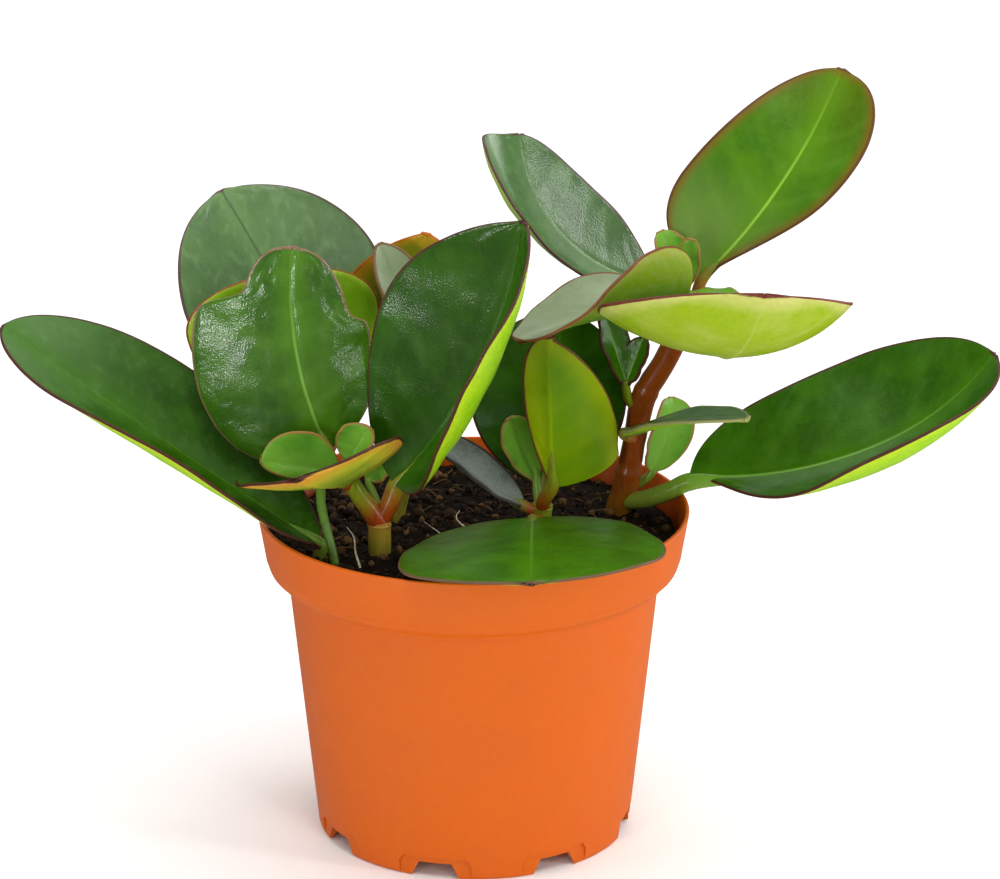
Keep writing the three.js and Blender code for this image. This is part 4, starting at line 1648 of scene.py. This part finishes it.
    def painted_shade(self, piece: bpy.types.Object) -> None:
        """Marks how much painted shade lies on the inside of the band, from none at the rim to full lower
        down.

        Args:
            piece: The pot after its cuts.
        """
        places = np.empty(len(piece.data.vertices) * 3)
        piece.data.vertices.foreach_get("co", places)
        x, y, z = places.reshape(-1, 3).T / MM
        depth = self.height - z
        slope = (self.rim_radius - self.band_foot_radius) / self.band_height
        middle = self.rim_radius - self.wall / 2 - depth * slope
        inside = (np.hypot(x, y) < middle) & (depth < self.band_height + 1)
        layer = piece.data.attributes.new("painted_shade", "FLOAT", "POINT")
        layer.data.foreach_set("value", np.where(inside, np.clip(depth / self.shade_depth, 0, 1), 0.0))

    def build(self) -> bpy.types.Object:
        """Makes the pot and lets it stand for its solid.

        Returns:
            The new piece.
        """
        piece = self.lathe()
        for cutter in self.cutters():
            cut(piece, cutter)
        sharpen(piece, self.SHARP_ANGLE)
        self.painted_shade(piece)
        piece.data.materials.clear()
        piece.data.materials.append(PotFinish().material())
        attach(piece, "root")
        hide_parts("pot")
        return piece


def arc(x: float, z: float, across: float, tall: float,
        start: float, end: float) -> list[tuple[float, float]]:
    """Lists points on a quarter of an ellipse.

    Args:
        x: Its middle's radius from the pot's axis.
        z: Its middle's height.
        across: Its half width.
        tall: Its half height.
        start: The first angle in degrees, 0 pointing outwards.
        end: The last angle.

    Returns:
        The points as radius and height, with both ends.
    """
    angles = [math.radians(start + (end - start) * step / ROUND_STEPS) for step in range(ROUND_STEPS + 1)]
    return [(x + across * math.cos(turn), z + tall * math.sin(turn)) for turn in angles]


def sweep(one: tuple[float, float], other: tuple[float, float]) -> list[tuple[float, float]]:
    """Eases from one profile corner to the next in an S shape.

    Args:
        one: Radius and height where it starts.
        other: Radius and height where it ends.

    Returns:
        The points between them and the last one, as radius and height.
    """
    shares = [step / ROUND_STEPS for step in range(1, ROUND_STEPS + 1)]
    eased = [share * share * (3 - 2 * share) for share in shares]
    return [(one[0] + (other[0] - one[0]) * ease, one[1] + (other[1] - one[1]) * share)
            for ease, share in zip(eased, shares)]


def add_rings(form: bmesh.types.BMesh, rings: list[list[Point]]) -> None:
    """Adds a closed body that runs through rings of corners.

    Args:
        form: Where it is added.
        rings: The rings, in millimetres, all with as many corners.
    """
    made = [[form.verts.new([part * MM for part in corner]) for corner in ring] for ring in rings]
    for one, other in zip(made[:-1], made[1:]):
        for corner in range(len(one)):
            following = (corner + 1) % len(one)
            form.faces.new((one[corner], one[following], other[following], other[corner]))
    form.faces.new(made[0][::-1])
    form.faces.new(made[-1])


def finish_form(form: bmesh.types.BMesh, name: str) -> bpy.types.Object:
    """Turns an edited form into an object in the scene.

    Args:
        form: The form, which is freed.
        name: The object's name.

    Returns:
        The object.
    """
    bmesh.ops.recalc_face_normals(form, faces=form.faces)
    mesh = bpy.data.meshes.new(name)
    form.to_mesh(mesh)
    form.free()
    made = bpy.data.objects.new(name, mesh)
    bpy.context.scene.collection.objects.link(made)
    return made


def cut(piece: bpy.types.Object, cutter: bpy.types.Object) -> None:
    """Cuts one object out of another, and removes the cutter.

    Args:
        piece: What is cut.
        cutter: What cuts it.
    """
    change = piece.modifiers.new("cut", "BOOLEAN")
    change.operation, change.solver, change.object = "DIFFERENCE", "EXACT", cutter
    changed = bpy.data.meshes.new_from_object(piece.evaluated_get(bpy.context.evaluated_depsgraph_get()))
    piece.modifiers.clear()
    piece.data = changed
    bpy.data.objects.remove(cutter)


@dataclass(frozen=True)
class Soil:
    """The soil with its loose crumbs, fibres and fine roots."""

    level: float = 86.5
    relief: float = 0.55
    radius: float = 56.8
    depth: float = 6.0
    bottom_share: float = 0.985
    crumbs: int = 900
    crumb_sizes: tuple[float, ...] = (0.5, 0.7, 0.9, 1.2, 1.7)
    crumb_tones: tuple[float, ...] = (0.0, 0.05, 0.15, 0.3, 0.8)
    crumb_margin: float = 1.5
    fibres: int = 150
    fibre_tones: tuple[float, ...] = (0.1, 0.4, 0.8, 1.0)
    fibre_margin: float = 7
    root_radii: tuple[float, float] = (0.34, 0.12)
    roots: tuple[tuple[Point, ...], ...] = (
        ((-31, -30, 87.4), (-32.5, -25, 90.5), (-33, -22, 93.5), (-35, -18, 95)),
        ((-2, -22, 87.2), (-6, -14, 88.6), (-9, -4, 87.6), (-14, 3, 88.8)),
        ((2, -6, 87.4), (-3, -1, 89.2), (-5, 8, 88.4), (-4, 16, 87.6)),
        ((28, -22, 87.2), (34, -12, 89), (40, -6, 87.6)),
        ((6, -30, 87.2), (2, -24, 88.4), (-8, -22, 88.2), (-14, -27, 87.4)),
    )
    seed: int = 11

    RINGS = 110
    SIDES = 260
    CRUMB_STRETCH = (0.6, 1.3)
    CRUMB_ROUGHNESS = (0.75, 1.2)
    CRUMB_LIFT = 0.2
    FIBRE_LENGTHS = (3, 9)
    FIBRE_BEND = 0.8
    FIBRE_LIFT = 0.5
    FIBRE_ARCH = 1.2
    FIBRE_KNOTS = (0, 0.35, 0.7, 1)
    FIBRE_RADII = (0.1, 0.22)
    FIBRE_STEPS = 10
    FIBRE_SIDES = 5
    ROOT_STEPS = 40
    ROOT_SIDES = 8
    ROOT_LUMPS = 0.3

    def height(self, x: float, y: float) -> float:
        """Gives the height of the soil's surface, with slow waves, clods and grains.

        Args:
            x: How far to the right the place is.
            y: How far back it is.

        Returns:
            Its height above the pot's foot.
        """
        broad = math.sin(0.11 * x + 0.7) * math.cos(0.13 * y)
        middle = 0.6 * math.sin(0.29 * x - 0.17 * y)
        fine = 0.5 * math.cos(0.53 * y + 0.41 * x)
        clods = (1.1 * noise.noise(Vector((x / 4, y / 4, 3)))
                 + 0.7 * noise.noise(Vector((x / 1.6, y / 1.6, 8))))
        grains = 0.45 * noise.noise(Vector((x / 0.8, y / 0.8, 5)))
        return self.level + self.relief * (broad + middle + fine) + clods + grains

    def place(self, radius: float, angle: float) -> Point:
        """Gives the place on the surface at a radius and an angle."""
        x, y = radius * math.cos(angle), radius * math.sin(angle)
        return (x, y, self.height(x, y))

    def bed(self) -> bpy.types.Object:
        """Makes the uneven surface with its sides and underside.

        Returns:
            The new piece.
        """
        points = [self.place(0.0, 0.0)]
        for ring in range(1, self.RINGS + 1):
            points.extend(self.place(self.radius * ring / self.RINGS, 2 * math.pi * side / self.SIDES)
                          for side in range(self.SIDES))
        points.extend([(x * self.bottom_share, y * self.bottom_share, self.level - self.depth)
                       for x, y, _ in points[-self.SIDES:]])
        faces = [[0, 1 + side, 1 + (side + 1) % self.SIDES] for side in range(self.SIDES)]
        faces.extend([corner + 1 for corner in face]
                     for face in ring_faces(self.RINGS + 1, self.SIDES, turned=True))
        faces.append([1 + self.RINGS * self.SIDES + side for side in range(self.SIDES)][::-1])
        shells = Shells()
        shells.add(np.array(points), faces)
        piece = shells.piece("soil_bed", [SoilFinish().bed()])
        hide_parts("soil")
        return piece

    def spot(self, draw: random.Random, margin: float) -> Point:
        """Draws a place on the surface.

        Args:
            draw: The random source.
            margin: How far it stays from the pot's wall.

        Returns:
            The place.
        """
        radius = (self.radius - margin) * math.sqrt(draw.random())
        return self.place(radius, draw.uniform(0, 2 * math.pi))

    def add_crumb(self, shells: Shells, draw: random.Random,
                  ball: tuple[np.ndarray, list[list[int]]]) -> None:
        """Drops one crumb.

        Args:
            shells: Where it is collected.
            draw: The random source.
            ball: The corners and faces that it is pressed from.
        """
        corners, faces = ball
        size = draw.choice(self.crumb_sizes)
        x, y, z = self.spot(draw, self.crumb_margin)
        stretch = np.array([draw.uniform(*self.CRUMB_STRETCH) for _ in range(3)]) * size
        turn = draw.uniform(0, ANY_TURN)
        spin = np.array([[math.cos(turn), -math.sin(turn), 0],
                         [math.sin(turn), math.cos(turn), 0],
                         [0, 0, 1]])
        rough = np.array([draw.uniform(*self.CRUMB_ROUGHNESS) for _ in range(len(corners))])
        points = (corners * rough[:, None] * stretch) @ spin.T + (x, y, z + size * self.CRUMB_LIFT)
        shells.add(points, faces, along=np.full(len(points), draw.choice(self.crumb_tones)))

    def add_fibre(self, shells: Shells, draw: random.Random) -> None:
        """Drops one short fibre.

        Args:
            shells: Where it is collected.
            draw: The random source.
        """
        x, y, z = self.spot(draw, self.fibre_margin)
        turn, length = draw.uniform(0, ANY_TURN), draw.uniform(*self.FIBRE_LENGTHS)
        bend = draw.uniform(-self.FIBRE_BEND, self.FIBRE_BEND)
        path = [(x + length * share * math.cos(turn + bend * share),
                 y + length * share * math.sin(turn + bend * share),
                 z + self.FIBRE_LIFT + draw.uniform(0, self.FIBRE_ARCH) * math.sin(math.pi * share))
                for share in self.FIBRE_KNOTS]
        way = curve_through(path, self.FIBRE_STEPS)
        shells.tube(way, np.full(len(way), draw.uniform(*self.FIBRE_RADII)), self.FIBRE_SIDES)
        shells.values["along"][-1][:] = draw.choice(self.fibre_tones)

    def litter(self) -> bpy.types.Object:
        """Scatters crumbs and short fibres over the surface.

        Returns:
            The new piece.
        """
        draw = random.Random(self.seed)
        shells = Shells()
        ball = crumb_ball()
        for _ in range(self.crumbs):
            self.add_crumb(shells, draw, ball)
        for _ in range(self.fibres):
            self.add_fibre(shells, draw)
        piece = shells.piece("soil_litter", [SoilFinish().crumb()])
        return piece

    def fine_roots(self) -> bpy.types.Object:
        """Makes the fine pale roots that lie on the soil.

        Returns:
            The new piece.
        """
        shells = Shells()
        for number, root in enumerate(self.roots):
            path = curve_through(list(root), self.ROOT_STEPS)
            radii = np.linspace(*self.root_radii, len(path))
            shells.tube(path, radii, self.ROOT_SIDES, lumps=self.ROOT_LUMPS, seed=number)
        piece = shells.piece("fine_roots", [SoilFinish().pale_root()])
        return piece


def crumb_ball() -> tuple[np.ndarray, list[list[int]]]:
    """Makes a small ball, for crumbs to be pressed from.

    Returns:
        Its corners and its faces.
    """
    form = bmesh.new()
    bmesh.ops.create_icosphere(form, subdivisions=1, radius=1.0)
    points = np.array([list(corner.co) for corner in form.verts])
    faces = [[corner.index for corner in face.verts] for face in form.faces]
    form.free()
    return points, faces


# ---------------------------------------------------------------- studio
@dataclass(frozen=True)
class Lamp:
    """A soft rectangular light, in metres.

    Attributes:
        name: Its name.
        place: Where it hangs.
        size: Its width and height.
        power: Its power in watts.
        target: What it points at.
    """

    name: str
    place: Point
    size: tuple[float, float]
    power: float
    target: Point = (0, 0, 0.11)

    def hang(self) -> None:
        """Hangs it in the scene."""
        data = bpy.data.lights.new(self.name, "AREA")
        data.shape, data.energy = "RECTANGLE", self.power
        data.size, data.size_y = self.size
        lamp = bpy.data.objects.new(self.name, data)
        lamp.location = self.place
        lamp.rotation_mode = "QUATERNION"
        lamp.rotation_quaternion = (Vector(self.target) - Vector(self.place)).to_track_quat("-Z", "Y")
        bpy.context.scene.collection.objects.link(lamp)


@dataclass(frozen=True)
class Studio:
    """Pale floor, soft lights and the camera at the photograph's view.

    Attributes:
        camera_place: Where the camera stands, in millimetres.
        camera_pitch: How far it is tilted up from looking down, in degrees.
        lens: Its focal length, and sensor its sensor's width, in millimetres.
        clipping: The nearest and the farthest that it sees, in metres.
        floor_size: The floor's width, in metres.
        floor_colour: The floor's colour.
        room_light: How bright the room is.
        lamps: The lights.
    """

    camera_place: Point = (7.4, -1100, 496)
    camera_pitch: float = 70.87
    lens: float = 150.0
    sensor: float = 36.0
    clipping: tuple[float, float] = (0.05, 50)
    floor_size: float = 12.0
    floor_colour: Colour = (254, 254, 254)
    room_light: float = 0.28
    lamps: tuple[Lamp, ...] = (
        Lamp("top", (0, 0.6, 1.7), (2.6, 2.6), 34, target=(0, 0.6, 0)),
        Lamp("left", (-1.35, -0.5, 0.35), (0.14, 1.0), 2.5),
        Lamp("front_left", (-0.62, -0.98, 0.18), (0.09, 0.34), 3.5),
        Lamp("front_right", (0.75, -1.15, 0.25), (0.1, 0.4), 2),
        Lamp("right", (1.4, -0.6, 0.4), (0.2, 0.9), 9),
        Lamp("front", (0.5, -1.9, 1.2), (1.2, 0.8), 6),
        Lamp("right_back", (1.35, 0.6, 0.42), (1.0, 0.8), 12),
        Lamp("above_front", (0.18, -0.66, 1.26), (0.16, 0.4), 3),
    )

    def floor(self) -> None:
        """Lays the pale floor, which glossy leaves don't mirror."""
        half = self.floor_size / 2
        mesh = bpy.data.meshes.new("floor")
        corners = [(-half, -half, 0), (half, -half, 0), (half, half, 0), (-half, half, 0)]
        mesh.from_pydata(corners, [], [[0, 1, 2, 3]])
        recipe = Recipe("floor")
        recipe.shade("Base Color", linear(self.floor_colour))
        recipe.shade("Roughness", 0.9)
        mesh.materials.append(recipe.material)
        floor = bpy.data.objects.new("floor", mesh)
        bpy.context.scene.collection.objects.link(floor)
        floor.visible_glossy = False

    def room(self) -> None:
        """Fills the room with plain white light."""
        world = bpy.data.worlds.new("room")
        world.use_nodes = True
        backdrop = world.node_tree.nodes["Background"]
        backdrop.inputs["Color"].default_value = (1, 1, 1, 1)
        backdrop.inputs["Strength"].default_value = self.room_light
        bpy.context.scene.world = world

    def camera(self) -> None:
        """Stands the camera where the photograph was taken from."""
        data = bpy.data.cameras.new("camera")
        data.lens, data.sensor_width = self.lens, self.sensor
        data.clip_start, data.clip_end = self.clipping
        camera = bpy.data.objects.new("camera", data)
        camera.location = [part * MM for part in self.camera_place]
        camera.rotation_euler = (math.radians(self.camera_pitch), 0, 0)
        bpy.context.scene.collection.objects.link(camera)
        bpy.context.scene.camera = camera

    def build(self) -> None:
        """Sets up floor, lights, camera and plain colours."""
        self.floor()
        for lamp in self.lamps:
            lamp.hang()
        self.room()
        self.camera()
        bpy.context.scene.view_settings.view_transform = "Standard"


# ---------------------------------------------------------------- the plant
STEMS = (
    Stem("stem_left",
         (Branch(((-26, -17, 66), (-26, -17, 86), (-26, -17, 97)), (3, 3.1, 3.3)),
          Branch(((-26, -17, 96), (-31, -19, 104), (-35, -21, 112)), (3, 2.5, 2.3))),
         Stalk.OLIVE, branch_finish=Stalk.AMBER, rings=(0.93,), seed=3),
    Stem("stem_side",
         (Branch(((-38, -27, 72), (-38, -27, 87), (-42, -20, 104), (-41, -12, 114)), (1.2, 1.2, 1.3, 1.7)),),
         Stalk.PALE, seed=9),
    Stem("stem_back",
         (Branch(((-22, 13, 66), (-22, 13, 87), (-18, 13, 104), (-14, 13, 128)), (2.6, 2.5, 2.3, 2.2)),),
         Stalk.OLIVE, rings=(0.6,), seed=14),
    Stem("stem_middle",
         (Branch(((19, 5, 66), (19, 5, 86), (19.5, 5, 94)), (2.8, 2.8, 2.9)),),
         Stalk.AMBER, rings=(0.9,), seed=21),
    Stem("stem_right",
         (Branch(((41, 18, 64), (41, 18, 86), (43, 18, 93), (45.5, 17, 108), (48, 15, 122), (54, 13, 134),
                  (61, 11, 150)), (3.4, 3.6, 3.8, 3.2, 3.6, 3.3, 2.9)),),
         Stalk.RUSSET, rings=(0.4, 0.69, 0.9), seed=30),
)

LEAVES = (
    # left plant
    Leaf("leaf_left_long", ((-43, -19, 76), (-43, -20, 86), (-42, -21.5, 91)),
         Blade((-42, -22, 91), (-129, -12, 151), 48, (0.55, -0.45, 0.7), arch=-5, cup=(72, 12),
               keel=16, open=0.55, widest=(0.56, 0.56),
               left_round=(0.95, 0.6), right_round=(0.75, 0.6), seed=1),
         skin=Skin.LONG, stalk_finish=Stalk.GREEN),
    Leaf("leaf_left_back", ((-41, -12, 113), (-38, 1, 117), (-37, 12, 122)),
         Blade((-37, 12, 122), (-71, 30, 178), 60, (0.35, -0.8, 0.5), arch=4, cup=(5, 12), keel=3,
               widest=(0.5, 0.5), right_round=(0.6, 0.65), wave=0.5, pucker=0.25, seed=2), skin=Skin.DUSKY),
    Leaf("leaf_notched", ((-41, -13, 112), (-40, -16, 115), (-40, -18, 118)),
         Blade((-40, -18, 118), (-49, -13, 174), 50, (0, -1, 0.1), arch=10, sway=-30, cup=(-20, -35), keel=3,
               widest=(0.44, 0.44), left_round=(0.36, 0.36), right_round=(0.5, 0.36), skew=-0.17,
               bites=(Bite(0.76, 0.48, 0.01), Bite(0.63, 0.22, 0.01)), vein_depth=0.14, wave=0.5, pucker=0.4,
               creases=(Crease(0.55, -0.86, 0.2, 0.12), Crease(0.7, -0.45, 0.06, 0.07),
                        Crease(0.7, -0.3, 0.06, 0.06), Crease(0.62, 0.03, 0.16, 0.04),
                        Crease(0.43, 0.66, 0.12, 0.16), Crease(0.25, 0.8, 0.1, 0.12),
                        Crease(0.3, -0.75, 0.1, 0.2)), seed=3),
         skin=Skin.POLISHED),
    Leaf("leaf_behind_notched", ((-41, -12, 112), (-43, -6, 113), (-45, 0, 115)),
         Blade((-47, 0, 117), (-55, -1, 163), 54, (-0.1, 0.95, 0.05), arch=-6, cup=(8, 8),
               widest=(0.7, 0.7), left_round=(0.9, 0.45), seed=4), skin=Skin.SHADED),
    Leaf("leaf_boat", ((-34, -20.5, 108), (-34.5, -21.5, 109.5), (-34.5, -23, 111)),
         Blade((-34.5, -24, 111), (-47, -49, 120), 52, (-0.25, 0.35, 0.9), arch=-20, cup=(22, 22),
               widest=(0.5, 0.5), left_round=(0.5, 0.5), seed=5), skin=Skin.BOAT, stalk_finish=Stalk.AMBER),
    Leaf("leaf_center", ((-26, -17, 96), (-23, -17, 102), (-20.8, -16.8, 107.5)),
         Blade((-21.5, -18, 108), (14, -30, 186), 60, (-0.6, -0.8, 0.15), arch=-15, sway=30,
               cup=(-5, 80), keel=25, widest=(0.57, 0.55), left_round=(0.6, 0.6), right_round=(0.65, 0.85),
               skew=-0.05, wave=0.5, pucker=0.3,
               creases=(Crease(0.22, -0.72, 0.12, 0.1), Crease(0.68, -0.16, 0.13, 0.05),
                        Crease(0.1, -0.3, 0.08, 0.14)), seed=6),
         skin=Skin.GLOSSY, stalk=2.6, stalk_finish=Stalk.AMBER),
    Leaf("leaf_grey_fold", ((-15, 13, 126), (-15, 10, 133), (-14, 6, 141)),
         Blade((-14, 6, 141), (-26, 1, 171), 15, (0.45, -0.9, 0.05), cup=(10, 10), keel=25,
               widest=(0.6, 0.6), left_round=(0.6, 0.6), seed=7), skin=Skin.FOLD_SHEEN),
    Leaf("leaf_olive", ((-14, 13, 126), (-17, 13, 130), (-19, 13, 133)),
         Blade((-20, 12, 134), (-13, 8, 172), 40, (-0.05, 0.95, 0.3), cup=(12, 12),
               widest=(0.35, 0.35), left_round=(0.6, 0.8), seed=8), skin=Skin.OLIVE),
    # middle shoot
    Leaf("leaf_backlit", ((19, 5, 92), (20, 2, 96), (22, 0, 100.5)),
         Blade((22, 0, 100.5), (20.5, -8, 147), 30, (-0.1, 0.95, 0.2), arch=-6, cup=(30, 20),
               widest=(0.06, 0.7), left_round=(0.3, 0.85), right_round=(1, 0.4), skew=-0.53, seed=9),
         skin=Skin.BACKLIT, stalk=2, stalk_finish=Stalk.AMBER),
    Leaf("leaf_middle_dark", ((19, 5, 91), (19, 10, 93), (20, 14, 96)),
         Blade((20, 14, 96), (25, 27, 143), 44, (-0.1, -0.95, 0.25), cup=(10, 10),
               widest=(0.5, 0.5), skew=-0.05, seed=10)),
    Leaf("leaf_middle_grey", ((19, 5, 91), (16, 5, 92), (14, 5, 93)),
         Blade((14, 5, 93), (-12, 8, 113), 15, (0.45, -0.35, 0.8), arch=-20, cup=(30, 30), keel=12,
               widest=(0.5, 0.5), seed=11), skin=Skin.SILVER_SHEEN),
    Leaf("leaf_front", ((19, 5, 89), (17.5, 0, 90), (16.5, -4, 92)),
         Blade((16.5, -4, 92), (15.7, -78, 101.5), 72, (-0.06, 0.13, 1), arch=10, cup=(-14, -14),
               widest=(0.6, 0.6), left_round=(0.55, 0.5), seed=12), skin=Skin.FAINT),
    # right plant
    Leaf("leaf_top", ((60, 11, 148), (62, 11, 153), (64, 12, 158)),
         Blade((64, 12, 158), (102, 22, 215), 40, (-0.2, -0.92, 0.35), arch=6, sway=25, cup=(20, 20),
               open=0.2, widest=(0.3, 0.75),
               left_round=(0.3, 0.6), right_round=(1.8, 0.4), skew=-0.2, seed=13),
         skin=Skin.BRIGHT),
    Leaf("leaf_upper_left", ((60, 11, 149), (56, 18, 151), (51, 22, 153)),
         Blade((51, 22, 153), (13, 48, 189.5), 36, (0.3, -0.85, 0.45), arch=-20, sway=-75, cup=(125, 15),
               open=0.4, widest=(0.88, 0.45),
               left_round=(1.2, 0.42), right_round=(0.7, 0.55), skew=-0.1, seed=14),
         skin=Skin.SHEEN),
    Leaf("leaf_grazing", ((60, 11, 149), (58.5, 8, 151), (57, 5.5, 151.5)),
         Blade((56.5, 5, 152), (13, -18, 149), 46, (-0.1, 0.25, 1), arch=18, cup=(115, 60), keel=10, open=1,
               widest=(0.25, 0.4), left_round=(0.12, 0.5), right_round=(0.5, 0.5), seed=15), skin=Skin.GRAZING_SHEEN),
    Leaf("leaf_spoon", ((60, 11, 148), (62, 6, 150), (63, 0, 151)),
         Blade((63, 1, 151), (77, -50, 172), 76, (0.05, 0.3, 0.95), arch=-102, cup=(50, 32),
               keel=0, widest=(0.55, 0.55), left_round=(0.45, 0.45), skew=0.03, seed=16), skin=Skin.SPOON),
    Leaf("leaf_big_right", ((42, 18, 90), (48, 14, 91.5), (55, 11, 95), (61, 9.5, 98.5)),
         Blade((61, 9, 100.5), (144, -5, 141), 57, (-0.35, -0.5, 0.75), arch=-30, sway=38, hook=15,
               cup=(16, 80), keel=5, widest=(0.55, 0.6),
               left_round=(0.45, 0.5), right_round=(2, 0.5), seed=17),
         stalk=2.6, stalk_finish=Stalk.GREEN),
    Leaf("leaf_across", ((45.5, 17, 109), (44.5, 13, 110.5), (42.3, 9.5, 113)),
         Blade((42.3, 9, 113.5), (75.5, -16, 126), 19, (-0.1, 0.1, 1), arch=15, cup=(10, 10),
               left_round=(0.6, 0.8), seed=18),
         skin=Skin.RIMMED),
    Leaf("leaf_small_lime", ((-26, -15, 96), (-27, -13, 101), (-29, -11, 106)),
         Blade((-29, -11, 106), (-25, -9, 112), 9, (-0.5, -0.8, 0.2), cup=(20, 20), seed=19),
         skin=Skin.LIME, stalk=1.1, stalk_finish=Stalk.GREEN, young=True),
    Leaf("leaf_lime_upright", ((43, 19, 92), (47, 20, 94), (51, 20, 98)),
         Blade((51, 20, 98), (56, 20, 120), 15, (0.5, -0.9, 0), keel=12, hook=-40, cup=(25, 25),
               left_round=(0.6, 0.45), seed=20),
         skin=Skin.LIME, stalk=1.2, stalk_finish=Stalk.GREEN, young=True),
)

SHOOT_TIPS = (
    ShootTip("tip_left", ((-35, -21, 111), (-35.5, -23, 114), (-35, -24, 117)), (2, 1.8, 0.8), (
        Blade((-37, -23, 113), (-58, -25, 117), 14, (0.1, -1, 0.15), skew=0.5, widest=(0.5, 0.5), seed=31),
        Blade((-34, -24, 116), (-28, -24, 126), 14, (-0.5, -0.8, 0.3), cup=(40, 40), keel=20, seed=32))),
    ShootTip("tip_middle", ((18.5, 6, 93), (18, 7.5, 97), (17.5, 8, 104)), (1.6, 1.5, 0.9), (
        Blade((18, 8, 99), (10, 5, 119), 11, (0.4, -0.9, 0.05), cup=(20, 20), widest=(0.65, 0.65),
              left_round=(1, 0.5), seed=33),)),
    ShootTip("tip_right", ((59.6, 11.5, 149), (58.6, 10.8, 155), (58.3, 10.3, 164)), (1.8, 1.7, 0.8), (
        Blade((58.5, 11, 157), (52, 13, 171), 11, (0.3, -0.85, 0.4), cup=(50, 50), seed=34),
        Blade((59, 10.5, 156), (60.5, 9, 170), 7, (-0.35, -0.9, 0.15), cup=(20, 20), seed=35),
        Blade((59.5, 11, 154), (72, -6, 157), 11, (-0.15, 0.25, 0.95), cup=(20, 20), seed=36))),
    ShootTip("side_shoot", ((47, 15.5, 119), (44, 14, 121), (42.5, 12, 128)), (1.6, 1.4, 1.2), (
        Blade((42.5, 12, 127), (36, 14, 148), 10, (0.6, -0.75, 0.2), cup=(20, 20), keel=10, seed=37),
        Blade((43, 12, 127), (48, 13, 140), 8, (-0.6, -0.75, 0.2), cup=(20, 20), keel=10, seed=38)),
        skin=Skin.DEEP, stalk_finish=Stalk.AMBER),
)


def report(piece: bpy.types.Object) -> None:
    """Logs a piece with its number of faces.

    Args:
        piece: The piece.
    """
    log.info("%s: %d faces", piece.name, len(piece.data.polygons))


def main() -> None:
    """Builds the pot, the soil and the plant, and sets up the studio."""
    logging.basicConfig(level=logging.INFO)
    wardrobe = Wardrobe()
    report(Pot().build())
    soil = Soil()
    for piece in (soil.bed(), soil.litter(), soil.fine_roots()):
        report(piece)
    for part in (*STEMS, *LEAVES, *SHOOT_TIPS):
        report(part.build(wardrobe))
    Studio().build()


if __name__ == "__main__":
    main()
